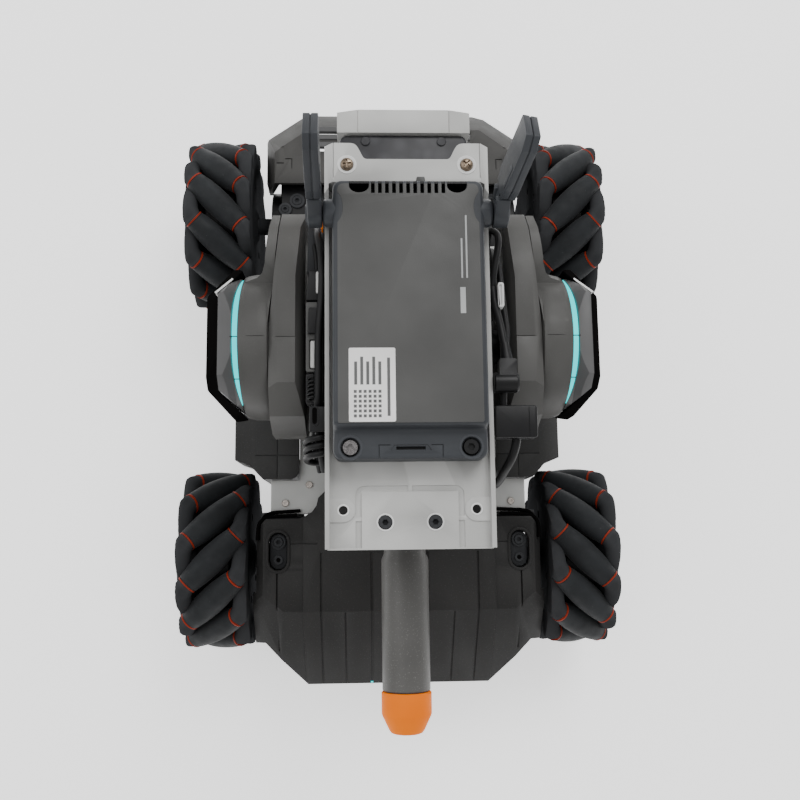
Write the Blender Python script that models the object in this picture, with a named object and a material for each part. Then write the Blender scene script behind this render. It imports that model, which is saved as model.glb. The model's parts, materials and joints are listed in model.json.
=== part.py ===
"""Mecanum wheel robot: a four-wheeled chassis that carries a turning, nodding head.

Metres, +Z up, and the front faces -Y. The shapes are placed about the middle of the chassis, and
at the end all of them move along +Y, which puts the origin on the ground under the middle of the
overall length.
"""

from math import cos, hypot, pi, radians, sin

import bmesh
import bpy
from mathutils import Matrix, Vector

GAP = 0.0003  # the gap that touching pieces keep
SHIFT_Y = 0.007  # from the middle of the chassis to the middle of the overall length

# Wheels
WHEEL_RADIUS = 0.050
WHEEL_X = 0.101  # middle of a wheel, to each side
WHEEL_Y = 0.100  # axles, in front and behind
HUB_HALF = 0.019  # half the width of a wheel
ROLLERS = 12
ROLLER_HALF = 0.019
ROLLER_AXLE_RADIUS = 0.0425  # from the wheel's axis to a roller's axis
ROLLER_ANGLE = radians(45)
DRUM_RADIUS = 0.0369
DRUM_HALF = 0.0092
HUB_RADIUS = 0.0365
FLANGE_RADIUS = 0.0470
FLANGE_INNER = 0.0177
SHAFT_RADIUS = 0.005

# Motors
MOTOR_RADIUS = 0.020
MOTOR_LOW = 0.044
MOTOR_HIGH = 0.0725

# Chassis
TUB_LOW, TUB_HIGH = 0.030, 0.062
TUB_WIDE, TUB_NARROW = 0.052, 0.040
TUB_FRONT, TUB_REAR = -0.084, 0.148
WALL = 0.003
DECK_LOW, DECK_HIGH = 0.084, 0.0875
YAW_MOTOR_RADIUS = 0.029
ARMOUR_TOP = 0.092
ARMOUR_HALF = 0.0775
FRONT_END = -0.1705
REAR_END = 0.166
REAR_HALF = 0.0760
REAR_HINGE_Y, REAR_HINGE_Z = 0.1525, 0.037

# Head
PITCH_Z = 0.168
ARM_INNER, ARM_OUTER = 0.0455, 0.061
POD_END = 0.0915
TRUNNION_RADIUS = 0.008
BARREL_Z = 0.155
BARREL_RADIUS = 0.0112
BARREL_END = -0.161
MUZZLE_END = -0.180
TRAY_LOW, TRAY_HIGH = 0.2097, 0.2125
TRAY_HALF = 0.0355
TRAY_FRONT, TRAY_REAR = -0.095, 0.078
BRIDGE_FRONT = 0.0605
BRIDGE_LOW, BRIDGE_HIGH = 0.222, 0.2245
CASE_HALF = 0.0318
CASE_FRONT, CASE_REAR = -0.0585, 0.0585
CASE_SPLIT, CASE_TOP = 0.222, 0.232

# Antennas
ANTENNA_X, ANTENNA_Y, ANTENNA_Z = 0.0392, 0.046, 0.226
ANTENNA_LEAN = radians(28)
FOLD_HEIGHT = 0.0095  # the fold axis, up the antenna from its turning axis
ANTENNA_LENGTH = 0.0459
RIGHT_ANTENNA_OUT = radians(12)


# ---------------------------------------------------------------- tools


def finish(name, colour, roughness, metallic=0.0):
    found = bpy.data.materials.get(name)
    if found:
        return found
    made = bpy.data.materials.new(name)
    made.use_nodes = True
    shader = made.node_tree.nodes["Principled BSDF"]
    shader.inputs["Base Color"].default_value = (*colour, 1.0)
    shader.inputs["Roughness"].default_value = roughness
    shader.inputs["Metallic"].default_value = metallic
    return made


def graphite():
    return finish("graphite", (0.10, 0.10, 0.105), 0.5)


def slate():
    return finish("slate", (0.15, 0.155, 0.165), 0.5)


def black():
    return finish("black", (0.02, 0.02, 0.022), 0.4)


def silver():
    return finish("silver", (0.52, 0.53, 0.53), 0.45)


def rubber():
    return finish("rubber", (0.022, 0.024, 0.028), 0.75)


def steel():
    return finish("steel", (0.55, 0.54, 0.52), 0.3, 1.0)


def orange():
    return finish("orange", (0.95, 0.28, 0.03), 0.4)


def cyan():
    return finish("cyan", (0.1, 0.85, 0.95), 0.3)


def placed(name, mesh, material):
    thing = bpy.data.objects.new(name, mesh)
    bpy.context.scene.collection.objects.link(thing)
    if material and not mesh.materials:
        mesh.materials.append(material)
    return thing


def helper(thing):
    """Keeps a cutter or a shape that another one takes in out of the model."""
    thing.hide_render = True
    thing.display_type = "WIRE"
    return thing


def turned_to(axis, point):
    """A point given across an axis and then along it, as x, y, z."""
    a, b, along = point
    return {"X": (along, a, b), "Y": (a, along, b), "Z": (a, b, along)}[axis]


def prism_mesh(name, outline, axis, low, high):
    """An outline pulled along an axis. It is in (y, z), (x, z) or (x, y)."""
    form = bmesh.new()
    ends = [
        [form.verts.new(turned_to(axis, (a, b, end))) for a, b in outline]
        for end in (low, high)
    ]
    form.faces.new(ends[0])
    form.faces.new(ends[1])
    count = len(outline)
    for i in range(count):
        j = (i + 1) % count
        form.faces.new((ends[0][i], ends[0][j], ends[1][j], ends[1][i]))
    bmesh.ops.recalc_face_normals(form, faces=form.faces)
    mesh = bpy.data.meshes.new(name)
    form.to_mesh(mesh)
    form.free()
    return mesh


def prism(name, outline, axis, low, high, material=None):
    return placed(name, prism_mesh(name, outline, axis, low, high), material)


def box(name, low, high, material=None, chamfer=0.0):
    """A box between two corners, with its upright edges cut off by the chamfer."""
    (x0, y0, z0), (x1, y1, z1) = low, high
    c = chamfer
    if c:
        outline = [
            (x0 + c, y0), (x1 - c, y0), (x1, y0 + c), (x1, y1 - c),
            (x1 - c, y1), (x0 + c, y1), (x0, y1 - c), (x0, y0 + c),
        ]
    else:
        outline = [(x0, y0), (x1, y0), (x1, y1), (x0, y1)]
    return prism(name, outline, "Z", z0, z1, material)


def turned_mesh(name, profile, axis, centre, sides):
    """A closed ring or solid turned about an axis. The profile is in (radius, along)."""
    form = bmesh.new()
    rings = []
    for radius, along in profile:
        if radius == 0:
            rings.append([form.verts.new(turned_to(axis, (centre[0], centre[1], along)))])
            continue
        rings.append([
            form.verts.new(turned_to(axis, (
                centre[0] + radius * cos(2 * pi * k / sides),
                centre[1] + radius * sin(2 * pi * k / sides),
                along,
            )))
            for k in range(sides)
        ])
    closed = profile[0][0] > 0 and profile[-1][0] > 0
    pairs = list(zip(rings, rings[1:]))
    if closed:
        pairs.append((rings[-1], rings[0]))
    for first, second in pairs:
        for k in range(sides):
            n = (k + 1) % sides
            if len(first) == 1:
                form.faces.new((first[0], second[k], second[n]))
            elif len(second) == 1:
                form.faces.new((first[k], first[n], second[0]))
            else:
                form.faces.new((first[k], first[n], second[n], second[k]))
    bmesh.ops.recalc_face_normals(form, faces=form.faces)
    mesh = bpy.data.meshes.new(name)
    form.to_mesh(mesh)
    form.free()
    mesh.shade_smooth()
    mesh.set_sharp_from_angle(angle=radians(35))
    return mesh


def turned(name, profile, axis, centre, sides, material=None):
    return placed(name, turned_mesh(name, profile, axis, centre, sides), material)


def rod(name, radius, axis, centre, low, high, sides=16, material=None):
    profile = [(0, low), (radius, low), (radius, high), (0, high)]
    return turned(name, profile, axis, centre, sides, material)


def combine(thing, operation, others):
    for other in others:
        modifier = thing.modifiers.new(operation.lower(), "BOOLEAN")
        modifier.operation = operation
        modifier.solver = "EXACT"
        modifier.object = helper(other)
    return thing


def cut(thing, *cutters):
    return combine(thing, "DIFFERENCE", cutters)


def join(thing, *others):
    return combine(thing, "UNION", others)


def slice_off(thing, point, normal):
    """Takes away what lies beyond a plane, on the side that its normal points to."""
    form = bmesh.new()
    form.from_mesh(thing.data)
    everything = form.verts[:] + form.edges[:] + form.faces[:]
    bmesh.ops.bisect_plane(
        form, geom=everything, plane_co=point, plane_no=normal, clear_outer=True, dist=1e-7
    )
    edges = [edge for edge in form.edges if edge.is_boundary]
    bmesh.ops.holes_fill(form, edges=edges)
    bmesh.ops.recalc_face_normals(form, faces=form.faces)
    form.to_mesh(thing.data)
    form.free()
    return thing


def arc(centre, radius, start, end, steps):
    """Points along a round stretch, with its angles in degrees."""
    return [
        (
            centre[0] + radius * cos(radians(start + (end - start) * k / steps)),
            centre[1] + radius * sin(radians(start + (end - start) * k / steps)),
        )
        for k in range(steps + 1)
    ]


def mirrored(outline):
    """The outline's other half, with x turned to the left."""
    return [(-x, y) for x, y in reversed(outline)]


def smooth_route(points, per_span):
    """A smooth curve through the points, as a list of close points."""
    ends = [2 * points[0] - points[1], *points, 2 * points[-1] - points[-2]]
    route = []
    for i in range(1, len(ends) - 2):
        a, b, c, d = ends[i - 1 : i + 3]
        for k in range(per_span):
            t = k / per_span
            route.append(
                0.5 * (2 * b + (c - a) * t + (2 * a - 5 * b + 4 * c - d) * t * t
                       + (3 * b - a - 3 * c + d) * t ** 3)
            )
    return [*route, points[-1]]


def lead(name, points, radius, per_span=4, sides=10):
    """A closed tube along a smooth curve through the points."""
    route = smooth_route([Vector(p) for p in points], per_span)
    form = bmesh.new()
    rings = []
    across = Vector((0, 0, 1))
    for i, place in enumerate(route):
        ahead = (route[min(i + 1, len(route) - 1)] - route[max(i - 1, 0)]).normalized()
        across = (across - across.dot(ahead) * ahead).normalized()
        other = ahead.cross(across)
        rings.append([
            form.verts.new(place + radius * (cos(2 * pi * k / sides) * across + sin(2 * pi * k / sides) * other))
            for k in range(sides)
        ])
    for first, second in zip(rings, rings[1:]):
        for k in range(sides):
            n = (k + 1) % sides
            form.faces.new((first[k], first[n], second[n], second[k]))
    form.faces.new(rings[0])
    form.faces.new(rings[-1])
    bmesh.ops.recalc_face_normals(form, faces=form.faces)
    mesh = bpy.data.meshes.new(name)
    form.to_mesh(mesh)
    form.free()
    return placed(name, mesh, black())


# ---------------------------------------------------------------- wheels and motors


def roller_radius(along):
    """The radius that keeps a slanting roller on the wheel's round outline."""
    sideways = along * sin(ROLLER_ANGLE)
    return WHEEL_RADIUS - hypot(ROLLER_AXLE_RADIUS, sideways)


def roller_ring_mesh(name, lean):
    """All the rollers of a wheel, held by the drum between them, about the X axis."""
    stations = [ROLLER_HALF * k / 2 for k in (-2, -1, 0, 1, 2)]
    profile = [(0, stations[0]), *((roller_radius(s), s) for s in stations), (0, stations[-1])]
    drum = rod(name + "_drum", DRUM_RADIUS, "X", (0, 0), -DRUM_HALF, DRUM_HALF, sides=24)
    helper(drum)
    rollers = []
    for k in range(ROLLERS):
        roller = turned(name + f"_roller{k}", profile, "X", (0, 0), 8)
        roller.matrix_world = (
            Matrix.Rotation(2 * pi * k / ROLLERS, 4, "X")
            @ Matrix.Translation((0, 0, ROLLER_AXLE_RADIUS))
            @ Matrix.Rotation(lean * ROLLER_ANGLE, 4, "Z")
        )
        rollers.append(roller)
    join(drum, *rollers)
    bpy.context.view_layer.update()
    graph = bpy.context.evaluated_depsgraph_get()
    mesh = bpy.data.meshes.new_from_object(drum.evaluated_get(graph))
    mesh.name = name
    mesh.materials.clear()
    for thing in (drum, *rollers):
        bpy.data.objects.remove(thing)
    return mesh


def hub_mesh(name, shaft):
    """One side plate of a wheel, on its +X side. The inner one carries the stub shaft."""
    tip = [(SHAFT_RADIUS, HUB_HALF), (SHAFT_RADIUS, HUB_HALF + 0.0135), (0, HUB_HALF + 0.0135)]
    face = tip if shaft else [(0.012, HUB_HALF), (0.010, HUB_HALF - 0.002), (0, HUB_HALF - 0.002)]
    profile = [
        (0, DRUM_HALF + GAP),
        (HUB_RADIUS, DRUM_HALF + GAP),
        (HUB_RADIUS, FLANGE_INNER),
        (FLANGE_RADIUS, FLANGE_INNER),
        (FLANGE_RADIUS - 0.001, HUB_HALF),
        *face,
    ]
    return turned_mesh(name, profile, "X", (0, 0), 20)


def wheels():
    outer, inner = hub_mesh("outer_hub", False), hub_mesh("inner_hub", True)
    for mesh in (outer, inner):
        mesh.materials.append(graphite())
    for end, y in (("front", -WHEEL_Y), ("rear", WHEEL_Y)):
        for hand, side in (("left", -1), ("right", 1)):
            name = f"{end}_{hand}"
            lean = 1 if side * y > 0 else -1
            ring = roller_ring_mesh(name + "_roller_ring", lean)
            ring.materials.append(rubber())
            centre = Vector((side * WHEEL_X, y, WHEEL_RADIUS))
            placed(name + "_roller_ring", ring, None).location = centre
            for part, mesh, turn in (("outer_hub", outer, side), ("inner_hub", inner, -side)):
                hub = placed(f"{name}_{part}", mesh, None)
                hub.location = centre
                hub.rotation_euler = (0, 0, 0 if turn > 0 else pi)
            motor(name + "_motor", side, y)


def motor(name, side, y):
    """A geared motor with the bore that takes the wheel's stub shaft."""
    bore = SHAFT_RADIUS + 0.0006
    profile = [
        (0, MOTOR_LOW), (MOTOR_RADIUS, MOTOR_LOW), (MOTOR_RADIUS, MOTOR_HIGH),
        (bore, MOTOR_HIGH), (bore, MOTOR_HIGH - 0.006), (0, MOTOR_HIGH - 0.006),
    ]
    profile = [(radius, side * along) for radius, along in profile]
    turned(name, profile, "X", (y, WHEEL_RADIUS), 16, black())


# ---------------------------------------------------------------- chassis


def chassis_tub():
    """The lower chassis: a solid front and middle, and an open bay behind them for the battery."""
    half = [
        (TUB_NARROW, TUB_FRONT), (TUB_NARROW, -TUB_WIDE), (TUB_WIDE, -TUB_WIDE + 0.012),
        (TUB_WIDE, TUB_WIDE - 0.012), (TUB_NARROW, TUB_WIDE), (TUB_NARROW, TUB_REAR),
    ]
    tub = prism("chassis_tub", half + mirrored(half), "Z", TUB_LOW, TUB_HIGH, graphite())
    cabin = box("tub_cabin", (-0.0495, -0.056, TUB_HIGH - 0.001), (0.0495, 0.0745, DECK_LOW - GAP), chamfer=0.004)
    additions = [cabin]
    for side in (-1, 1):
        low, high = sorted((side * (TUB_NARROW - 0.001), side * (MOTOR_LOW - GAP)))
        additions.append(box(f"motor_mount{side}", (low, 0.082, 0.0325), (high, 0.118, TUB_HIGH)))
        additions.append(box(
            f"ear{side}", (side * 0.033 - 0.004, TUB_REAR - WALL, REAR_HINGE_Z - 0.0045),
            (side * 0.033 + 0.004, REAR_HINGE_Y + 0.0045, REAR_HINGE_Z + 0.0045),
        ))
    join(tub, *additions)
    bay_low = TUB_LOW + WALL
    battery_bay = box("battery_bay", (-0.0362, 0.0430, bay_low), (0.0362, TUB_REAR + 2 * WALL, TUB_HIGH + 0.0003))
    bay_mouth = box("bay_mouth", (-0.0362, 0.0760, TUB_HIGH - WALL), (0.0362, TUB_REAR + 2 * WALL, 0.070))
    pin_hole = rod("tub_pin_hole", 0.0054, "Y", (0, WHEEL_RADIUS), TUB_FRONT - WALL, -0.079, sides=20)
    drive_pocket = rod("drive_pocket", YAW_MOTOR_RADIUS + 0.0005, "Z", (0, 0), 0.0695, DECK_HIGH, sides=24)
    hinge_hole = rod("tub_hinge_hole", 0.0024, "X", (REAR_HINGE_Y, REAR_HINGE_Z), -0.05, 0.05, sides=12)
    cut(tub, battery_bay, bay_mouth, pin_hole, drive_pocket, hinge_hole)
    rod("rear_hinge_pin", 0.0020, "X", (REAR_HINGE_Y, REAR_HINGE_Z), -0.0372, 0.0372, 12, steel())


def chassis_deck():
    half = [
        (0.070, -0.076), (0.070, -0.0573), (0.0542, -0.0573),
        (0.0542, 0.0573), (0.070, 0.0573), (0.070, 0.076),
    ]
    deck = prism("chassis_deck", half + mirrored(half), "Z", DECK_LOW, DECK_HIGH, silver())
    cut(deck, rod("deck_hole", YAW_MOTOR_RADIUS + 0.0005, "Z", (0, 0), DECK_LOW - WALL, DECK_HIGH + WALL, sides=24))


def armour_block(name, outline, low, top, slopes):
    """A block on an outline with its top planed off by the slopes."""
    block = prism(name, outline, "Z", low, top)
    for point, normal in slopes:
        slice_off(block, point, normal)
    return block


def shell(name, outer, inner, material):
    """What is left of the outer block once the inner one is taken out."""
    if not outer.data.materials:
        outer.data.materials.append(material)
    outer.name = name
    return cut(outer, inner)


def front_slopes(drop=0.0):
    """The planes of the front armour's nose and flanks, lowered for its inner skin."""
    top = ARMOUR_TOP - drop
    return [
        (Vector((0, -0.128, top)), Vector((0, -0.036, 0.0425)).normalized()),
        (Vector((0.0735, 0, top)), Vector((0.004, 0, 0.003)).normalized()),
        (Vector((-0.0735, 0, top)), Vector((-0.004, 0, 0.003)).normalized()),
    ]


def front_armour():
    half = [
        (0.051, FRONT_END), (ARMOUR_HALF, -0.142), (ARMOUR_HALF, -0.084),
        (0.072, -0.0785), (0.054, -0.0785), *arc((0.054, -0.0675), 0.010, 250, 180, 3),
        (0.040, -0.0635),
    ]
    inner_half = [
        (0.049, FRONT_END + WALL), (ARMOUR_HALF - WALL, -0.1405), (ARMOUR_HALF - WALL, -0.0815),
        (0.0505, -0.0815), (0.0505, -0.0500),
    ]
    outer = armour_block("front_armour_outer", half + mirrored(half), 0.040, ARMOUR_TOP, front_slopes())
    skin = ARMOUR_TOP - DECK_HIGH - GAP
    inner = armour_block(
        "front_armour_inner", inner_half + mirrored(inner_half), 0.030, DECK_HIGH + GAP, front_slopes(skin)
    )
    armour = shell("front_armour", outer, inner, graphite())
    cut(armour, box("wheel_arch", (-0.1, -0.132, 0.030), (0.1, -0.040, 0.074)))
    for side, hand in ((-1, "left"), (1, "right")):
        x, y = side * 0.0655, -0.096
        slot = arc((x, y + 0.0052), 0.0050, 0, 180, 5) + arc((x, y - 0.0052), 0.0050, 180, 360, 5)
        cut(armour, prism(f"insert_hole{side}", slot, "Z", 0.070, 0.100))
        plug = arc((x, y + 0.0052), 0.0046, 0, 180, 5) + arc((x, y - 0.0052), 0.0046, 180, 360, 5)
        insert = prism(f"front_{hand}_armour_screw_plate", plug, "Z", 0.0840, 0.0890, black())
        cut(insert, rod(f"hex{side}", 0.0016, "Z", (x, y + 0.0052), 0.0870, 0.095, sides=6))
    cut(armour, box("panel_opening", (-0.0483, -0.18, 0.0307), (0.0483, FRONT_END + 0.005, 0.0533)))
    box("front_hit_panel", (-0.048, FRONT_END + 0.0013, 0.0400), (0.048, FRONT_END + 0.0030, 0.0530), black())
    box("front_light_bar", (-0.024, FRONT_END + 0.0001, 0.0490), (0.024, FRONT_END + 0.0010, 0.0520), cyan())


def side_armour(hand, side):
    half = [
        (0.0545, 0.0500), *arc((0.0585, 0.0530), 0.004, 180, 90, 2), (0.074, 0.0570),
        (0.0815, 0.0490), (0.090, 0.0460),
    ]
    outline = [(side * x, y) for x, y in half] + [(side * x, -y) for x, y in reversed(half)]
    slopes = [(Vector((side * 0.078, 0, ARMOUR_TOP)), Vector((side * 0.006, 0, 0.012)).normalized())]
    outer = armour_block(f"{hand}_side_outer", outline, 0.046, ARMOUR_TOP, slopes)
    inner = box(
        f"{hand}_side_inner", (min(side * 0.050, side * 0.0865), -0.0455, 0.040),
        (max(side * 0.050, side * 0.0865), 0.0455, ARMOUR_TOP - 0.0075),
    )
    shell(f"{hand}_side_armour", outer, inner, graphite())


def rear_armour():
    """The rear hatch: a shell over the back of the tub, with a clear arch for the wheel motors."""
    top = 0.084
    half = [(REAR_HALF, 0.1150), (REAR_HALF, 0.1485), (0.049, REAR_END)]
    outline = mirrored(half) + half
    inner_half = [(REAR_HALF - 0.0025, 0.110), (REAR_HALF - 0.0025, 0.1470), (0.0477, REAR_END - WALL)]
    inner_outline = mirrored(inner_half) + inner_half

    def slopes(drop):
        edge = REAR_HALF - 0.0065 - 0.8 * drop
        return [
            (Vector((0, 0.148, top - drop)), Vector((0, 0.021, 0.018)).normalized()),
            (Vector((edge, 0, top - drop)), Vector((0.024, 0, 0.0073)).normalized()),
            (Vector((-edge, 0, top - drop)), Vector((-0.024, 0, 0.0073)).normalized()),
            (Vector((0.062, 0.1394, top - drop)), Vector((0.0122, 0.0168, 0.018)).normalized()),
            (Vector((-0.062, 0.1394, top - drop)), Vector((-0.0122, 0.0168, 0.018)).normalized()),
        ]

    outer = armour_block("rear_outer", outline, 0.044, top, slopes(0))
    inner = armour_block("rear_inner", inner_outline, 0.030, top - WALL, slopes(WALL))
    armour = shell("rear_armour", outer, inner, graphite())
    cut(armour, box("motor_arch", (-0.1, 0.105, 0.030), (0.1, 0.1225, 0.068)))
    for side in (-1, 1):
        lug = box(
            f"lug{side}", (side * 0.024 - 0.0045, REAR_HINGE_Y - 0.0045, REAR_HINGE_Z - 0.0045),
            (side * 0.024 + 0.0045, REAR_END - 0.001, REAR_HINGE_Z + 0.0045),
        )
        web = box(
            f"web{side}", (side * 0.024 - 0.0045, REAR_END - WALL - 0.001, REAR_HINGE_Z),
            (side * 0.024 + 0.0045, REAR_END - 0.0005, 0.050),
        )
        join(armour, lug, web)
    for row in range(2):
        y = 0.1345 + 0.008 * row
        cut(armour, box(f"grille{row}", (-0.045, y, 0.070), (0.045, y + 0.004, 0.090)))
    cut(armour, rod("lug_hole", 0.0025, "X", (REAR_HINGE_Y, REAR_HINGE_Z), -0.05, 0.05, sides=12))


def chassis_inside():
    box("battery", (-0.0359, 0.0433, TUB_LOW + WALL + GAP), (0.0359, 0.1460, TUB_HIGH - 0.0003), black(), 0.003)
    beam = box(
        "front_axle_beam", (-MOTOR_LOW + GAP, -0.112, 0.036), (MOTOR_LOW - GAP, -0.088, 0.064),
        slate(), 0.004,
    )
    join(beam, rod("beam_pin", 0.0050, "Y", (0, WHEEL_RADIUS), -0.090, -0.0795, 16))
    half = [(0.0665, 0.0765), (0.0665, 0.121), (0.046, 0.1225)]
    cover = prism("rear_cabin_cover", half + mirrored(half), "Z", 0.0715, 0.0755, black())
    for side in (-1, 1):
        low, high = sorted((side * 0.0400, side * 0.0435))
        join(cover, box(f"cover_post{side}", (low, 0.084, TUB_HIGH + GAP), (high, 0.116, 0.0725)))


def yaw_drive():
    """The fixed motor of the turntable, and the turntable with the bridge that carries the arms."""
    turned(
        "yaw_motor",
        [(0, 0.070), (YAW_MOTOR_RADIUS, 0.070), (YAW_MOTOR_RADIUS, DECK_HIGH + GAP),
         (0.036, DECK_HIGH + GAP), (0.036, 0.0977), (0, 0.0977)],
        "Z", (0, 0), 24, slate(),
    )
    turntable = rod("turntable", 0.046, "Z", (0, 0), 0.098, 0.1065, 32, graphite())
    join(turntable, box("bridge", (-0.0600, -0.026, 0.1045), (0.0600, 0.026, 0.112), chamfer=0.006))


# ---------------------------------------------------------------- head, the part that turns


def arm(hand, side):
    """The inner half of a pod, from the bridge up to the pitch axis, with its fin to the rear."""
    outline = [
        (-0.024, 0.1123), (0.024, 0.1123), (0.032, 0.136), (0.044, 0.154), (0.0583, 0.176),
        (0.0583, 0.190), (0.050, 0.196), (0.026, 0.2005), (-0.022, 0.2005), (-0.036, 0.192),
        (-0.0425, 0.176), (-0.0425, 0.158), (-0.034, 0.136),
    ]
    low, high = sorted((side * ARM_INNER, side * ARM_OUTER))
    block = prism(f"{hand}_arm", outline, "X", low, high, graphite())
    slice_off(block, Vector((side * 0.0585, 0.056, 0)), Vector((side * 0.058, 0.0043, 0)).normalized())
    bore = rod(
        f"{hand}_bore", TRUNNION_RADIUS + 0.0005, "X", (0, PITCH_Z),
        *sorted((side * (ARM_INNER - WALL), side * 0.0535)), sides=20,
    )
    cut(block, bore)


def bulge(y, reach):
    """How far a pod's outer end swells out, at a distance from its middle."""
    return reach * max(0.0, 1 - (y / 0.033) ** 2)


def pod_cover(hand, side):
    """The outer half of a pod: a drum that narrows towards its swollen end."""
    profile = [
        (0, ARM_OUTER + GAP), (0.0345, ARM_OUTER + GAP), (0.0345, 0.0680), (0.0326, 0.0738), (0, 0.0738),
    ]
    cover = turned(
        f"{hand}_pod_cover", [(r, side * x) for r, x in profile], "X", (0, PITCH_Z), 32, graphite()
    )
    swell(cover, side, 0.0735, 0.0011)


def swell(thing, side, start, reach):
    """Pushes what lies past a distance from the middle of the robot outwards, most of all at y = 0."""
    for vert in thing.data.vertices:
        if abs(vert.co.x) > start:
            vert.co.x += side * bulge(vert.co.y, reach)


def hit_armour(hand, side):
    """The pod's target plate: the light ring, the grey block and the bent black plate round it."""
    ring = [(r, side * x) for r, x in ((0.0290, 0.0742), (0.0324, 0.0742), (0.0324, 0.0750), (0.0290, 0.0750))]
    crescent = turned(f"{hand}_light_ring", ring, "X", (0, PITCH_Z), 32, cyan())
    swell(crescent, side, 0.0746, 0.0020)
    swell(crescent, side, 0.0740, 0.0011)
    inner_face = [(side * (0.0754 + bulge(0.0051 * k, 0.0031)), 0.0051 * k) for k in range(-6, 7)]
    block = [*inner_face, (side * (POD_END - 0.0041), 0.0204), (side * (POD_END - 0.0041), -0.0204)]
    low, high = PITCH_Z - 0.031, PITCH_Z + 0.031
    plate = [
        (side * x, y * up)
        for x, y, up in (
            (0.0795, 0.0345, 1), (POD_END, 0.0216, 1), (POD_END, 0.0216, -1), (0.0795, 0.0345, -1),
            (0.0790, 0.0310, -1), (POD_END - 0.0038, 0.0207, -1), (POD_END - 0.0038, 0.0207, 1), (0.0790, 0.0310, 1),
        )
    ]
    for name, outline, reach, inset, material in (
        (f"{hand}_hit_block", block, 0, 0.0030, slate()),
        (f"{hand}_hit_armour", plate, 0.002, 0, black()),
    ):
        piece = prism(name, outline, "Z", low - reach, high + reach, material)
        for sz in (-1, 1):
            edge = Vector((side * (POD_END - inset), 0, PITCH_Z + sz * 0.012))
            slice_off(piece, edge, Vector((side * 0.0207, 0, sz * 0.0083)).normalized())
            for sy in (-1, 1):
                corner = Vector((0, sy * (0.034 + reach / 2), PITCH_Z + sz * 0.016))
                slice_off(piece, corner, Vector((0, sy, sz * 0.9)).normalized())


# ---------------------------------------------------------------- head, the part that nods


def blaster():
    outline = [
        (-0.074, 0.140), (-0.062, 0.134), (0.036, 0.134), (0.058, 0.148), (0.058, 0.1635),
        (0.038, 0.1635), (0.038, TRAY_LOW - GAP), (-0.052, TRAY_LOW - GAP), (-0.074, 0.184),
    ]
    housing = prism("blaster_housing", outline, "X", -0.033, 0.033, black())
    join(housing, rod("trunnion", TRUNNION_RADIUS, "X", (0, PITCH_Z), -0.0525, 0.0525, sides=20))
    start = -0.074 - GAP
    turned(
        "blaster_barrel",
        [(0, start), (0.0095, start), (BARREL_RADIUS, start - 0.006), (BARREL_RADIUS, BARREL_END),
         (0.004, BARREL_END), (0.004, start - 0.020), (0, start - 0.020)],
        "Y", (0, BARREL_Z), 24, slate(),
    )
    turned(
        "muzzle_tip",
        [(0.004, BARREL_END - GAP), (0.0117, BARREL_END - GAP), (0.0117, -0.1715),
         (0.0070, MUZZLE_END), (0.004, MUZZLE_END)],
        "Y", (0, BARREL_Z), 24, orange(),
    )
    camera = box("camera_module", (-0.019, -0.0925, 0.1845), (0.019, -0.0743, TRAY_LOW - GAP), black(), 0.002)
    lens = turned(
        "lens_barrel",
        [(0, -0.090), (0.0085, -0.090), (0.0085, -0.0945), (0.0065, -0.0945), (0.0050, -0.0930), (0, -0.0930)],
        "Y", (0, 0.1965), 20,
    )
    join(camera, lens)


def bead_container():
    dark = finish("smoked", (0.05, 0.05, 0.055), 0.2)
    box("bead_container", (-0.0295, 0.0383, 0.1638), (0.0295, 0.0937, 0.1975), dark, 0.002)
    cap = [(-0.0305, 0.0940), (0.0305, 0.0940), (0.0305, 0.1037), (0.021, 0.1052), (-0.021, 0.1052), (-0.0305, 0.1037)]
    prism("container_cap", cap, "Z", 0.1655, 0.1995, silver())


def top_tray():
    """The light channel that carries the controller: floor, step, rear bridge and side flanges."""
    floor = [
        (TRAY_FRONT, TRAY_LOW), (BRIDGE_FRONT + 0.0025, TRAY_LOW), (BRIDGE_FRONT + 0.0025, BRIDGE_LOW),
        (TRAY_REAR, BRIDGE_LOW), (TRAY_REAR, BRIDGE_HIGH), (BRIDGE_FRONT, BRIDGE_HIGH),
        (BRIDGE_FRONT, TRAY_HIGH), (TRAY_FRONT, TRAY_HIGH),
    ]
    tray = prism("top_tray", floor, "X", -0.0345, 0.0345, silver())
    rail = [
        (TRAY_FRONT, TRAY_LOW), (BRIDGE_FRONT + 0.0025, TRAY_LOW), (TRAY_REAR, 0.2175),
        (TRAY_REAR, BRIDGE_HIGH), (BRIDGE_FRONT, BRIDGE_HIGH), (0.0540, 0.2172), (TRAY_FRONT, 0.2172),
    ]
    rails = [
        prism(f"rail{side}", rail, "X", *sorted((side * 0.0337, side * TRAY_HALF))) for side in (-1, 1)
    ]
    join(tray, *rails)
    join(tray, box("front_pad", (-0.021, TRAY_FRONT + 0.0008, TRAY_HIGH - 0.001), (0.021, -0.0665, TRAY_HIGH + 0.0007)))
    notch = [(0.0210, 0.090), (0.0210, 0.0765), *arc((0.0155, 0.0740), 0.003, 0, -90, 2)]
    cut(tray, prism("bridge_notch", notch + mirrored(notch), "Z", 0.200, 0.230))
    for side, hand in ((-1, "left"), (1, "right")):
        cut(tray, rod(f"tray_hole{side}", 0.0019, "Z", (side * 0.028, -0.0785), 0.20, 0.22, sides=12))
        x, y = side * 0.0105, -0.0837
        cut(tray, rod(f"screw_seat{side}", 0.0033, "Z", (x, y), TRAY_LOW + 0.0012, 0.22, sides=16))
        screw = rod(
            f"tray_front_{hand}_screw", 0.0029, "Z", (x, y), TRAY_LOW + 0.0015, TRAY_HIGH + 0.0010, 16, black()
        )
        cut(screw, rod(f"screw_hex{side}", 0.0012, "Z", (x, y), TRAY_HIGH - 0.0003, 0.220, sides=6))


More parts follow.
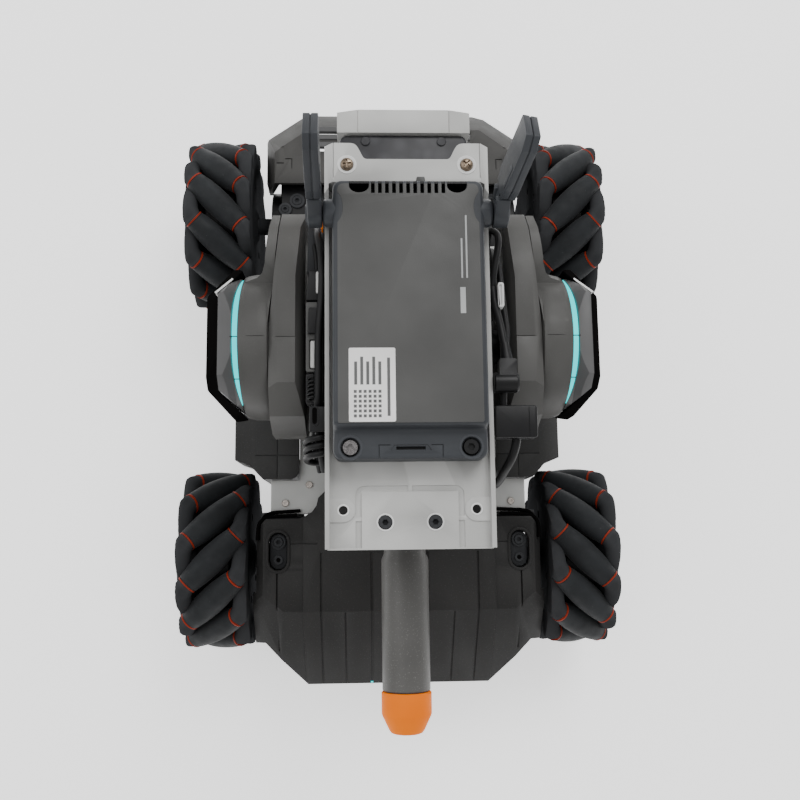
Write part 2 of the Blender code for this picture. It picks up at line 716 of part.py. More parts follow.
def controller():
    """The controller's lower and upper case. The upper one has a lower ledge at its front."""
    base = box(
        "controller_base", (-CASE_HALF, CASE_FRONT, TRAY_HIGH + GAP), (CASE_HALF, CASE_REAR, CASE_SPLIT - GAP),
        slate(), 0.003,
    )
    pin_holes = rod(
        "pin_holes", 0.0034, "X", (ANTENNA_Y, ANTENNA_Z), -0.05, 0.05, sides=12,
    )
    ledge = 0.2265
    profile = [
        (CASE_FRONT, CASE_SPLIT), (CASE_REAR, CASE_SPLIT), (CASE_REAR, CASE_TOP),
        (-0.0445, CASE_TOP), (-0.0470, ledge), (CASE_FRONT, ledge),
    ]
    cover = prism("controller_cover", profile, "X", -CASE_HALF, CASE_HALF, slate())
    for side in (-1, 1):
        slice_off(cover, Vector((side * 0.0305, 0, CASE_TOP)), Vector((side, 0, 0.7)).normalized())
        slice_off(cover, Vector((side * CASE_HALF, CASE_FRONT + 0.003, 0)), Vector((side, -1, 0)).normalized())
    vents = [
        box(f"vent{k}", (-0.0225 + 0.0045 * k - 0.0011, 0.0527, 0.2285), (-0.0225 + 0.0045 * k + 0.0011, 0.062, 0.24))
        for k in range(11)
    ]
    cut(cover, *vents, pin_holes)
    return base


def connectors():
    """What is plugged into the controller's right side, and the leads from it to the blaster housing."""
    plug = [(-0.0290, 0.2135), (-0.0210, 0.2135), (-0.0210, 0.2205), (-0.0290, 0.2205)]
    power = prism("power_plug", plug, "X", TRAY_HALF + GAP, 0.0465, black())
    join(power, box("plug_body", (0.0385, -0.0285, 0.2140), (0.0460, -0.0120, 0.2200)))
    join(power, lead("power_tail", POWER_ROUTE, 0.0017))
    data = box("data_plug", (TRAY_HALF + GAP, -0.0490, 0.2085), (0.0545, -0.0350, 0.2165), black(), 0.0015)
    join(data, lead("data_tail", DATA_ROUTE, 0.0019))
    tab = [(-0.0425, -0.0450), (-0.0425, -0.0340), (-0.0333, -0.0340), (-0.0333, -0.0450)]
    prism("left_cable_clip", tab, "Z", 0.2060, TRAY_LOW - GAP, black())


POWER_ROUTE = [
    (0.0422, -0.0140, 0.2170), (0.0416, -0.004, 0.2170), (0.0408, 0.008, 0.2150), (0.0400, 0.020, 0.2110),
    (0.0398, 0.030, 0.2040), (0.0396, 0.0345, 0.1960), (0.0382, 0.0350, 0.1895), (0.0360, 0.0350, 0.1880),
    (0.0336, 0.0350, 0.1880),
]
DATA_ROUTE = [
    (0.0460, -0.0470, 0.2122), (0.0455, -0.053, 0.2110), (0.0430, -0.060, 0.2050), (0.0400, -0.066, 0.1950),
    (0.0395, -0.067, 0.1840), (0.0385, -0.064, 0.1770), (0.0362, -0.062, 0.1745), (0.0336, -0.062, 0.1745),
]


def antenna(hand, side):
    """An antenna's knuckle, which turns in the controller's side, and the blade that folds on it."""
    root = bpy.data.objects.new(f"{hand}_antenna_root", None)
    root.location = (side * ANTENNA_X, ANTENNA_Y, ANTENNA_Z)
    root.rotation_euler = (-ANTENNA_LEAN, 0, 0)
    bpy.context.scene.collection.objects.link(root)
    knuckle = rod(f"{hand}_antenna_knuckle", 0.0062, "X", (0, 0), -0.0030, 0.0030, 16, slate())
    prongs = [
        box(f"{hand}_prong{k}", (-0.0030, k * 0.0038 - 0.0015, 0.0), (0.0030, k * 0.0038 + 0.0015, 0.0118))
        for k in (-1, 1)
    ]
    pin = rod(f"{hand}_antenna_pin", 0.0030, "X", (0, 0), *sorted((-side * 0.0025, -side * 0.0105)), sides=12)
    join(knuckle, *prongs, pin)
    for thing in (knuckle, *prongs, pin):
        thing.parent = root

    fold = bpy.data.objects.new(f"{hand}_antenna_fold", None)
    fold.parent = root
    fold.location = (0, 0, FOLD_HEIGHT)
    fold.rotation_euler = (0, RIGHT_ANTENNA_OUT if side > 0 else 0, 0)
    bpy.context.scene.collection.objects.link(fold)
    top = ANTENNA_LENGTH - FOLD_HEIGHT
    blade_outline = [
        (-0.0075, 0.0044), (0.0055, 0.0044), (0.0075, 0.010), (0.0068, top), (-0.0058, top), (-0.0085, top - 0.006),
        (-0.0085, 0.010),
    ]
    blade = prism(f"{hand}_antenna_blade", blade_outline, "X", -0.0030, 0.0030, slate())
    tongue = prism(
        f"{hand}_tongue", [(-0.0019, -0.0022), (0.0019, -0.0022), (0.0019, 0.006), (-0.0019, 0.006)],
        "X", -0.0022, 0.0022,
    )
    join(blade, tongue)
    for thing in (blade, tongue):
        thing.parent = fold


# ---------------------------------------------------------------- build


def main():
    for thing in list(bpy.data.objects):
        bpy.data.objects.remove(thing)
    wheels()
    chassis_tub()
    chassis_deck()
    chassis_inside()
    front_armour()
    rear_armour()
    yaw_drive()
    for hand, side in (("left", -1), ("right", 1)):
        side_armour(hand, side)
        arm(hand, side)
        pod_cover(hand, side)
        hit_armour(hand, side)
        antenna(hand, side)
    blaster()
    bead_container()
    top_tray()
    controller()
    connectors()
    for thing in bpy.data.objects:
        if not thing.parent:
            thing.location.y += SHIFT_Y


main()
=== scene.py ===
"""Looks of the mecanum wheel robot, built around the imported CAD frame.

Pieces are built in millimetres about the middle of the chassis, with -Y to the front. When a piece
is put on its body it is scaled to metres and moved to where the frame has the turntable.
"""

import json
from math import atan2, cos, hypot, pi, radians, sin

import bmesh
import bpy
from mathutils import Matrix, Vector

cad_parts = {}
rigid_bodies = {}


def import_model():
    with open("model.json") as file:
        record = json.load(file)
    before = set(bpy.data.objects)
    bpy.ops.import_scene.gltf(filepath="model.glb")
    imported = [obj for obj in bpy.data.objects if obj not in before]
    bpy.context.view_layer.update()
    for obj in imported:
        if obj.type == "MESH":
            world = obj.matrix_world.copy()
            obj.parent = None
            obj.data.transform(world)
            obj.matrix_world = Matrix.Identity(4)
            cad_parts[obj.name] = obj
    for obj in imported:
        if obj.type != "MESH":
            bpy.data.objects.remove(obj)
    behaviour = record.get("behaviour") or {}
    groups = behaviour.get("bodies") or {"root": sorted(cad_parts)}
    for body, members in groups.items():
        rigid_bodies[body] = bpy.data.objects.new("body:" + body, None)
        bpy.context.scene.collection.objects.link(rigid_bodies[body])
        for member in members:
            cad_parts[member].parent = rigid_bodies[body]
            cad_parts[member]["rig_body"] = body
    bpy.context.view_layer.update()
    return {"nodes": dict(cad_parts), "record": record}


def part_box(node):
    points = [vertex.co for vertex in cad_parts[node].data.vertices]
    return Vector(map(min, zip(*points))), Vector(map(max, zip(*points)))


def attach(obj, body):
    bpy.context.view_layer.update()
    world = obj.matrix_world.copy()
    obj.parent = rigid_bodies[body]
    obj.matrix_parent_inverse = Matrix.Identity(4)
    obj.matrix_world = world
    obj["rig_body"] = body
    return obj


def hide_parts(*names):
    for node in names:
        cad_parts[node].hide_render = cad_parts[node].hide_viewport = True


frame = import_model()
low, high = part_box("turntable")
MIDDLE_Y = (low.y + high.y) / 2
TO_WORLD = Matrix.Translation((0, MIDDLE_Y, 0)) @ Matrix.Scale(0.001, 4)
SIDES = (("left", -1), ("right", 1))
SLOTS = {row["node"]: row["material_slot"] for row in frame["record"]["subparts"]}

# Wheel, in millimetres
ROLLERS = 12
WHEEL_RADIUS = 50.0
ROLLER_AXLE = 42.5
ROLLER_SLANT = radians(45)
RING_RADIUS = 5.7
RING_THICKNESS = 0.8
SLEEVE_HALF = 17.7
HORN_START = 18.8
WHEEL_HALF = 18.9

# Chassis, in millimetres
ARMOUR_TOP = 92.0
NOSE_START = -128.0
NOSE_SLOPE = 36 / 42.5
HOOD_HALF = 52.0
HOOD_RISE = 0.8

# Head, in millimetres
POD_OUT = 91.3
PITCH_Z = 168.0
DRUM_END = 73.8
DRUM_BOW = 1.1
LIGHT_RADIUS = 33.0
LIGHT_HALF = 29.5
LIGHT_CURVE = 3.2
BARREL_Z = 155.0
TRAY_TOP = 212.5
CASE_TOP = 232.0
LEDGE_TOP = 226.5
LEDGE_END = -46.6
CASE_HALF = 31.8
CASE_END = 58.5
TRAY_HALF = 34.6
HINGE_AT = (46, 226)
LEDGE_SCREW = (24.8, -53.6)
BRIDGE_SCREW = (25.7, 68.2)
TRAY_HOLE = (28, -78.5)

# Camera, in metres, with its place seen from the middle of the chassis
CAMERA_AT = (-0.0203, -0.0923, 0.6122)
CAMERA_LOOK = (0.0410, 0.1489, -0.9880)
CAMERA_UP = (0.0065, 0.98877, 0.14928)
CAMERA_LENS = 42.75


# ---------------------------------------------------------------- materials


def node_tree(name, colour, roughness, metallic=0.0):
    made = bpy.data.materials.new(name)
    made.use_nodes = True
    tree = made.node_tree
    shader = tree.nodes["Principled BSDF"]
    shader.inputs["Base Color"].default_value = (*colour, 1)
    shader.inputs["Roughness"].default_value = roughness
    shader.inputs["Metallic"].default_value = metallic
    return made, tree, shader


def noise(tree, scale, detail=2.0):
    """A noise pattern in object space. Its scale is in features per metre."""
    place = tree.nodes.new("ShaderNodeTexCoord")
    texture = tree.nodes.new("ShaderNodeTexNoise")
    texture.inputs["Scale"].default_value = scale
    texture.inputs["Detail"].default_value = detail
    tree.links.new(place.outputs["Object"], texture.inputs["Vector"])
    return texture.outputs["Fac"]


def spread(tree, source, low, high, start=0.3, end=0.7):
    """Maps a pattern from start..end to low..high."""
    ranged = tree.nodes.new("ShaderNodeMapRange")
    for socket, value in zip(("From Min", "From Max", "To Min", "To Max"), (start, end, low, high)):
        ranged.inputs[socket].default_value = value
    tree.links.new(source, ranged.inputs["Value"])
    return ranged.outputs["Result"]


def blend_colour(tree, factor, first, second):
    """Mixes two colours. Each is a tuple or another node's colour."""
    mix = tree.nodes.new("ShaderNodeMix")
    mix.data_type = "RGBA"
    for socket, colour in ((mix.inputs[6], first), (mix.inputs[7], second)):
        if isinstance(colour, tuple):
            socket.default_value = (*colour, 1)
        else:
            tree.links.new(colour, socket)
    tree.links.new(factor, mix.inputs[0])
    return mix.outputs[2]


def scaled(colour, factor):
    return tuple(min(1.0, part * factor) for part in colour)


def roughen(tree, shader, grain, strength, height):
    """Gives a surface a fine grain, so many features per metre and so many metres high."""
    bump = tree.nodes.new("ShaderNodeBump")
    bump.inputs["Strength"].default_value = strength
    bump.inputs["Distance"].default_value = height
    tree.links.new(noise(tree, grain, 2.0), bump.inputs["Height"])
    tree.links.new(bump.outputs["Normal"], shader.inputs["Normal"])


def moulded(name, colour, roughness, grain=2600.0, depth=0.35, speckle=0.0, wear=0.0, shine=0.25):
    """Moulded plastic: cloudy colour, a fine sparked grain, and if wanted bright flecks and worn edges."""
    made, tree, shader = node_tree(name, colour, roughness)
    shader.inputs["Specular IOR Level"].default_value = shine
    cloud = noise(tree, 28.0, 3.0)
    tone = blend_colour(tree, spread(tree, cloud, 0, 1), scaled(colour, 0.86), scaled(colour, 1.14))
    if speckle:
        fleck = noise(tree, 1500.0, 1.0)
        tone = blend_colour(tree, spread(tree, fleck, 0, speckle, 0.62, 0.78), tone, scaled(colour, 3.2))
    if wear:
        geometry = tree.nodes.new("ShaderNodeNewGeometry")
        edge = spread(tree, geometry.outputs["Pointiness"], 0, wear, 0.52, 0.60)
        tone = blend_colour(tree, edge, tone, scaled(colour, 2.2))
    tree.links.new(tone, shader.inputs["Base Color"])
    dull = noise(tree, 90.0, 4.0)
    tree.links.new(spread(tree, dull, roughness - 0.07, roughness + 0.07), shader.inputs["Roughness"])
    roughen(tree, shader, grain, depth, 0.00012)
    return made


def rubber_material():
    """Soft roller rubber: nearly black with a blue cast, a matt skin and a little pale dust."""
    colour = (0.0135, 0.0150, 0.0166)
    made, tree, shader = node_tree("roller_rubber", colour, 0.72)
    tone = blend_colour(
        tree, spread(tree, noise(tree, 60.0, 4.0), 0, 1), scaled(colour, 0.8), scaled(colour, 1.35)
    )
    dust = spread(tree, noise(tree, 620.0, 2.0), 0, 0.55, 0.70, 0.80)
    tree.links.new(blend_colour(tree, dust, tone, (0.05, 0.053, 0.056)), shader.inputs["Base Color"])
    tree.links.new(spread(tree, noise(tree, 200.0, 3.0), 0.62, 0.80), shader.inputs["Roughness"])
    shader.inputs["Specular IOR Level"].default_value = 0.25
    shader.inputs["Sheen Weight"].default_value = 0.05
    roughen(tree, shader, 3200.0, 0.30, 0.00010)
    return made


def steel_material(name, colour):
    """Turned metal, a little uneven in colour and gloss."""
    made, tree, shader = node_tree(name, colour, 0.28, 1.0)
    tone = blend_colour(
        tree, spread(tree, noise(tree, 900.0, 3.0), 0, 1), scaled(colour, 0.75), scaled(colour, 1.1)
    )
    tree.links.new(tone, shader.inputs["Base Color"])
    tree.links.new(spread(tree, noise(tree, 1800.0, 2.0), 0.18, 0.42), shader.inputs["Roughness"])
    return made


def light_material():
    """The lit diffuser of the light strips, a little uneven along its length."""
    made, tree, shader = node_tree("cyan_light", (0.02, 0.55, 0.65), 0.35)
    uneven = spread(tree, noise(tree, 45.0, 2.0), 0, 1)
    glow = blend_colour(tree, uneven, (0.0, 0.84, 0.90), (0.0, 1.0, 1.0))
    tree.links.new(glow, shader.inputs["Emission Color"])
    tint = blend_colour(tree, uneven, (0.0, 0.10, 0.12), (0.0, 0.14, 0.16))
    tree.links.new(tint, shader.inputs["Base Color"])
    shader.inputs["Specular IOR Level"].default_value = 0.0
    shader.inputs["Emission Strength"].default_value = 1.35
    return made


def smoked_material():
    """Smoked clear plastic of the bead container, with the beads a dim pattern behind it."""
    colour = (0.030, 0.030, 0.033)
    made, tree, shader = node_tree("smoked_plastic", colour, 0.36)
    shader.inputs["Specular IOR Level"].default_value = 0.2
    beads = tree.nodes.new("ShaderNodeTexVoronoi")
    beads.inputs["Scale"].default_value = 150.0
    place = tree.nodes.new("ShaderNodeTexCoord")
    tree.links.new(place.outputs["Object"], beads.inputs["Vector"])
    tone = blend_colour(
        tree, spread(tree, beads.outputs["Distance"], 1, 0, 0.1, 0.6), colour, scaled(colour, 1.6)
    )
    tree.links.new(tone, shader.inputs["Base Color"])
    tree.links.new(spread(tree, noise(tree, 70.0, 3.0), 0.30, 0.46), shader.inputs["Roughness"])
    return made


def glass_material():
    made, tree, shader = node_tree("lens_glass", (0.010, 0.012, 0.020), 0.05)
    tint = blend_colour(
        tree, spread(tree, noise(tree, 120.0), 0, 1), (0.008, 0.010, 0.018), (0.016, 0.014, 0.034)
    )
    tree.links.new(tint, shader.inputs["Base Color"])
    shader.inputs["Coat Weight"].default_value = 1.0
    return made


ARMOUR = moulded(
    "armour_graphite", (0.028, 0.0275, 0.027), 0.40, grain=2200, depth=0.45, speckle=0.40, wear=0.3,
    shine=0.08
)
# A lighter copy of the armour graphite for the side armour: painted light, matching the stronger light that
# falls on the sides.
FLANK_PAINTED_LIGHT = moulded(
    "flank_graphite_painted_light", (0.035, 0.0345, 0.034), 0.40, grain=2200, depth=0.45, speckle=0.30, wear=0.3, shine=0.10
)
# A lighter copy of the armour graphite for the rear hatch: painted light, standing for the stronger light
# that falls on the rear.
HATCH_PAINTED_LIGHT = moulded(
    "hatch_graphite_painted_light", (0.054, 0.053, 0.051), 0.42, grain=2200, depth=0.45, speckle=0.15, wear=0.3, shine=0.06
)
POD = moulded("pod_grey", (0.071, 0.070, 0.067), 0.44, grain=2400, depth=0.35, speckle=0.06, wear=0.2)
HUB = moulded("hub_charcoal", (0.036, 0.037, 0.039), 0.40, grain=1800, depth=0.25, wear=0.35, shine=0.0)
SLATE = moulded("slate_plastic", (0.037, 0.040, 0.045), 0.42, grain=2600, depth=0.30, wear=0.2)
CASE = moulded("case_grey", (0.075, 0.075, 0.073), 0.48, grain=3000, depth=0.30)
BLOCK = moulded("block_grey", (0.098, 0.098, 0.099), 0.38, grain=2600, depth=0.25)
SILVER = moulded("silver_plastic", (0.430, 0.430, 0.418), 0.46, grain=2600, depth=0.30, wear=0.15)
BLACK = moulded("black_plastic", (0.0065, 0.0065, 0.0070), 0.40, grain=2400, depth=0.25, wear=0.15)
GLOSS_BLACK = moulded("gloss_black", (0.0045, 0.0042, 0.0042), 0.34, grain=1500, depth=0.08, shine=0.0)
LEAD = moulded("lead_jacket", (0.0065, 0.0065, 0.0070), 0.48, grain=1600, depth=0.25)
BARREL = moulded("barrel_grey", (0.098, 0.096, 0.092), 0.40, grain=2000, depth=0.45, speckle=0.30)
ORANGE = moulded("signal_orange", (1.0, 0.200, 0.002), 0.45, grain=2200, depth=0.30, shine=0.04)
RING_RED = moulded("ring_orange", (0.25, 0.026, 0.011), 0.42, grain=2200, depth=0.20, shine=0.10)
LABEL = moulded("label_paper", (0.80, 0.79, 0.78), 0.55, grain=1800, depth=0.08)
PRINT = moulded("label_print", (0.11, 0.11, 0.11), 0.60, grain=1800, depth=0.08)
MARK = moulded("pale_mark", (0.40, 0.41, 0.41), 0.50, grain=1800, depth=0.08)
# Pale finish of the tray rims, washers and socket; also the painted highlight strip at the pods' rear edges.
BRIGHT = moulded("pale_rims_and_painted_highlight", (0.70, 0.70, 0.69), 0.35, grain=1800, depth=0.12)
RUBBER = rubber_material()
STEEL = steel_material("turned_steel", (0.55, 0.50, 0.46))
STEEL_DARK = steel_material("dark_steel", (0.22, 0.21, 0.21))
BRONZE = steel_material("bronze_steel", (0.22, 0.17, 0.125))
LIGHT = light_material()
SMOKED = smoked_material()
GLASS = glass_material()

FINISH = {
    "graphite_plastic": ARMOUR,
    "slate_plastic": SLATE,
    "black_plastic": BLACK,
    "silver_plastic": SILVER,
    "roller_rubber": RUBBER,
    "steel": STEEL,
    "signal_orange": ORANGE,
    "cyan_light": LIGHT,
    "smoked_plastic": SMOKED,
}


# ---------------------------------------------------------------- shape tools


def new_object(name, form, material):
    """Turns a bmesh into an object, with its faces pointing out."""
    bmesh.ops.recalc_face_normals(form, faces=form.faces)
    mesh = bpy.data.meshes.new(name)
    form.to_mesh(mesh)
    form.free()
    thing = bpy.data.objects.new(name, mesh)
    bpy.context.scene.collection.objects.link(thing)
    if material:
        mesh.materials.append(material)
    return thing


def smooth(thing, angle=35.0):
    """Shades a piece smooth, except at edges sharper than the angle."""
    thing.data.shade_smooth()
    thing.data.set_sharp_from_angle(angle=radians(angle))
    return thing


def turned_to(axis, a, b, along):
    return {"X": (along, a, b), "Y": (a, along, b), "Z": (a, b, along)}[axis]


def prism(name, outline, axis, start, end, material=None):
    """An outline pulled along an axis. It is in (y, z), (x, z) or (x, y)."""
    form = bmesh.new()
    ends = [[form.verts.new(turned_to(axis, a, b, end)) for a, b in outline] for end in (start, end)]
    form.faces.new(ends[0])
    form.faces.new(ends[1])
    for i in range(len(outline)):
        j = (i + 1) % len(outline)
        form.faces.new((ends[0][i], ends[0][j], ends[1][j], ends[1][i]))
    return new_object(name, form, material)


def box(name, corner, opposite, material=None):
    (x0, y0, z0), (x1, y1, z1) = corner, opposite
    return prism(name, rectangle(x0, y0, x1, y1), "Z", z0, z1, material)


def lathe(name, profile, axis="Z", centre=(0, 0), sides=48, material=None):
    """A solid turned about an axis. The profile is in (radius, along); radius 0 closes it."""
    form = bmesh.new()
    rings = []
    for radius, along in profile:
        if radius == 0:
            rings.append([form.verts.new(turned_to(axis, *centre, along))])
            continue
        rings.append(
            [
                form.verts.new(
                    turned_to(
                        axis, centre[0] + radius * cos(2 * pi * k / sides),
                        centre[1] + radius * sin(2 * pi * k / sides), along,
                    )
                )
                for k in range(sides)
            ]
        )
    pairs = list(zip(rings, rings[1:]))
    if profile[0][0] and profile[-1][0]:
        pairs.append((rings[-1], rings[0]))
    for first, second in pairs:
        for k in range(sides):
            n = (k + 1) % sides
            if len(first) == 1:
                form.faces.new((first[0], second[k], second[n]))
            elif len(second) == 1:
                form.faces.new((first[k], first[n], second[0]))
            else:
                form.faces.new((first[k], first[n], second[n], second[k]))
    return smooth(new_object(name, form, material))


def disc(name, radius, axis, centre, start, end, material=None, sides=32, edge=0.0):
    """A round plate or pin, with its far edge eased."""
    step = edge if end > start else -edge
    profile = [(0, start), (radius, start), (radius, end - step), (radius - edge, end), (0, end)]
    if not edge:
        del profile[3]
    return lathe(name, profile, axis, centre, sides, material)


def route_through(points, per_span=8):
    """A smooth curve through the points."""
    points = [Vector(p) for p in points]
    ends = [2 * points[0] - points[1], *points, 2 * points[-1] - points[-2]]
    route = []
    for i in range(1, len(ends) - 2):
        a, b, c, d = ends[i - 1 : i + 3]
        for k in range(per_span):
            t = k / per_span
            route.append(0.5 * (
                2 * b + (c - a) * t + (2 * a - 5 * b + 4 * c - d) * t * t + (3 * b - a - 3 * c + d) * t ** 3
            ))
    return [*route, points[-1]]


def tube(name, route, radii, sides=14, material=None, start_normal=None):
    """A closed tube along a route. Its radius may change along it."""
    if not isinstance(radii, (list, tuple)):
        radii = [radii] * len(route)
    form = bmesh.new()
    rings = []
    across = Vector((0.02, 0.01, 1.0))
    for i, place in enumerate(route):
        ahead = (route[min(i + 1, len(route) - 1)] - route[max(i - 1, 0)]).normalized()
        if i == 0 and start_normal:
            ahead = start_normal
        across = (across - across.dot(ahead) * ahead).normalized()
        other = ahead.cross(across)
        rings.append(
            [
                form.verts.new(
                    place + radii[i] * (cos(2 * pi * k / sides) * across + sin(2 * pi * k / sides) * other)
                )
                for k in range(sides)
            ]
        )
    for first, second in zip(rings, rings[1:]):
        for k in range(sides):
            n = (k + 1) % sides
            form.faces.new((first[k], first[n], second[n], second[k]))
    form.faces.new(rings[0])
    form.faces.new(rings[-1])
    return smooth(new_object(name, form, material), 50)


def rounded_outline(points, radius, steps=5):
    """An outline with its corners rounded. A radius can be one number or one for each corner."""
    count = len(points)
    radii = radius if isinstance(radius, (list, tuple)) else [radius] * count
    outline = []
    for i, (corner, r) in enumerate(zip(points, radii)):
        here = Vector(corner)
        to_last = (Vector(points[i - 1]) - here).normalized()
        to_next = (Vector(points[(i + 1) % count]) - here).normalized()
        turn = to_last.angle(to_next)
        if r <= 0 or abs(turn - pi) < 0.01:
            outline.append(tuple(here))
            continue
        reach = r / abs(sin(turn / 2) / cos(turn / 2))
        start, end = here + to_last * reach, here + to_next * reach
        for k in range(steps + 1):
            t = k / steps
            outline.append(tuple((1 - t) ** 2 * start + 2 * t * (1 - t) * here + t * t * end))
    return outline


def mirrored(points):
    """The other half of an outline that is symmetric about x = 0."""
    return [(-x, y) for x, y in reversed(points)]


def rectangle(x0, y0, x1, y1):
    return [(x0, y0), (x1, y0), (x1, y1), (x0, y1)]


def beside(side, place):
    """A place (x, y) on one side of the middle."""
    return side * place[0], place[1]


def capsule(x, y, radius, reach, steps=10):
    """An outline with round ends, along y."""
    outline = []
    for end in (1, -1):
        for k in range(steps + 1):
            turn = pi * k / steps
            outline.append((x + end * radius * cos(turn), y + end * reach + end * radius * sin(turn)))
    return outline


def settled(thing, angle=35.0):
    """Replaces an object's mesh with what its modifiers make of it."""
    bpy.context.view_layer.update()
    graph = bpy.context.evaluated_depsgraph_get()
    mesh = bpy.data.meshes.new_from_object(thing.evaluated_get(graph))
    thing.modifiers.clear()
    thing.data = mesh
    return smooth(thing, angle)


def combined(thing, operation, others):
    """Applies one boolean after another, and removes the pieces that it used."""
    for other in others:
        modifier = thing.modifiers.new(operation.lower(), "BOOLEAN")
        modifier.operation = operation
        modifier.solver = "EXACT"
        modifier.object = other
    settled(thing)
    for other in others:
        bpy.data.objects.remove(other)
    return thing


def cut(thing, *others):
    return combined(thing, "DIFFERENCE", others)


def join(thing, *others):
    return combined(thing, "UNION", others)


def eased(thing, width, segments=3, angle=28.0):
    """Rounds the edges that are sharper than the angle."""
    form = bmesh.new()
    form.from_mesh(thing.data)
    bmesh.ops.remove_doubles(form, verts=form.verts, dist=1e-4)
    bmesh.ops.dissolve_limit(
        form, angle_limit=radians(0.6), verts=form.verts, edges=form.edges, use_dissolve_boundaries=False
    )
    form.to_mesh(thing.data)
    form.free()
    bevel = thing.modifiers.new("bevel", "BEVEL")
    bevel.width = width
    bevel.segments = segments
    bevel.limit_method = "ANGLE"
    bevel.angle_limit = radians(angle)
    bevel.use_clamp_overlap = True
    return settled(thing, 32)


def sliced(thing, point, normal):
    """Takes away what lies beyond a plane, on the side that its normal points to."""
    form = bmesh.new()
    form.from_mesh(thing.data)
    everything = form.verts[:] + form.edges[:] + form.faces[:]
    bmesh.ops.bisect_plane(
        form, geom=everything, plane_co=point, plane_no=normal, clear_outer=True, dist=1e-5
    )
    bmesh.ops.holes_fill(form, edges=[edge for edge in form.edges if edge.is_boundary])
    bmesh.ops.recalc_face_normals(form, faces=form.faces)
    form.to_mesh(thing.data)
    form.free()
    return thing


def twin(thing, name):
    """A copy with a mesh of its own."""
    mesh = thing.data.copy()
    mesh.name = name
    other = bpy.data.objects.new(name, mesh)
    bpy.context.scene.collection.objects.link(other)
    return other


def turned_over(thing):
    """Moves a piece to the other side, with x turned round."""
    thing.data.transform(Matrix.Scale(-1, 4, (1, 0, 0)))
    thing.data.flip_normals()
    return thing


def gathered(name, parts, material):
    """One object made of several loose parts."""
    form = bmesh.new()
    for part in parts:
        form.from_mesh(part.data)
        bpy.data.objects.remove(part)
    return new_object(name, form, material)


def put(thing, body, slot, *nodes, matrix=None):
    """Moves a piece from building units to the frame, and puts it on its body."""
    thing.data.transform(TO_WORLD @ (matrix or Matrix.Identity(4)))
    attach(thing, body)
    if nodes:
        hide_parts(*nodes)
    return thing


def on_head(thing, slot, *nodes):
    return put(thing, "blaster_head", slot, *nodes)


def node_copy(node, material=None):
    """A CAD node's own shape as a new object, in millimetres."""
    form = bmesh.new()
    form.from_mesh(frame["nodes"][node].data)
    bmesh.ops.transform(form, matrix=TO_WORLD.inverted(), verts=form.verts)
    bmesh.ops.remove_doubles(form, verts=form.verts, dist=1e-3)
    return new_object(node + "_shell", form, material or FINISH[SLOTS[node]])


def body_of(node):
    return frame["nodes"][node]["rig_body"]


def refined(node, width, material=None, segments=3, cutters=(), extras=(), slices=()):
    """A CAD node's own shape with its edges rounded, after additions, slices and cuts."""
    thing = node_copy(node, material)
    if extras:
        join(thing, *extras)
    for point, normal in slices:
        sliced(thing, point, normal)
    if cutters:
        cut(thing, *cutters)
    eased(thing, width, segments)
    return put(thing, body_of(node), SLOTS[node], node)


def socket_screw(name, centre, head, low, top, material, body, slot, axis="Z"):
    """A round screw head with a hexagon socket. Its centre is given across its axis."""
    step = 0.25 * (1 if top > low else -1)
    profile = [(0, low), (head, low), (head, top - 2 * step), (head - 0.35, top), (0, top)]
    screw = lathe(name, profile, axis, centre, 28, material)
    floor = top - 0.6 * (top - low)
    sink = disc("socket", head * 0.46, axis, centre, floor, top + 4 * step, sides=6)
    cut(screw, sink)
    return put(screw, body, slot)


# ---------------------------------------------------------------- wheels


def sleeve_radius(along):
    return WHEEL_RADIUS - hypot(ROLLER_AXLE, along * sin(ROLLER_SLANT))


def sleeve_mesh():
    """One rubber roller about the X axis, thickest at its middle so that the wheel runs round."""
    stations = [SLEEVE_HALF * (k / 7 - 1) for k in range(15)]
    profile = [(0, -SLEEVE_HALF), (sleeve_radius(SLEEVE_HALF) - 0.6, -SLEEVE_HALF)]
    profile += [(sleeve_radius(s), s * 0.985) for s in stations]
    profile += [(sleeve_radius(SLEEVE_HALF) - 0.6, SLEEVE_HALF), (0, SLEEVE_HALF)]
    return lathe("roller_sleeve", profile, "X", sides=32, material=RUBBER)


def roller_place(k, lean):
    return (
        Matrix.Rotation(2 * pi * k / ROLLERS, 4, "X")
        @ Matrix.Translation((0, 0, ROLLER_AXLE))
        @ Matrix.Rotation(lean * ROLLER_SLANT, 4, "Z")
    )


def roller_rings(lean):
    """The thin orange rings at both ends of all the rollers."""
    start = SLEEVE_HALF + 0.05
    stop = start + RING_THICKNESS
    rings = []
    for k in range(ROLLERS):
        for end in (-1, 1):
            profile = [
                (0, end * start), (RING_RADIUS, end * start), (RING_RADIUS, end * stop), (0, end * stop)
            ]
            ring = lathe("ring", profile, "X", sides=24)
            ring.data.transform(roller_place(k, lean))
            rings.append(ring)
    return gathered("roller_rings", rings, RING_RED)


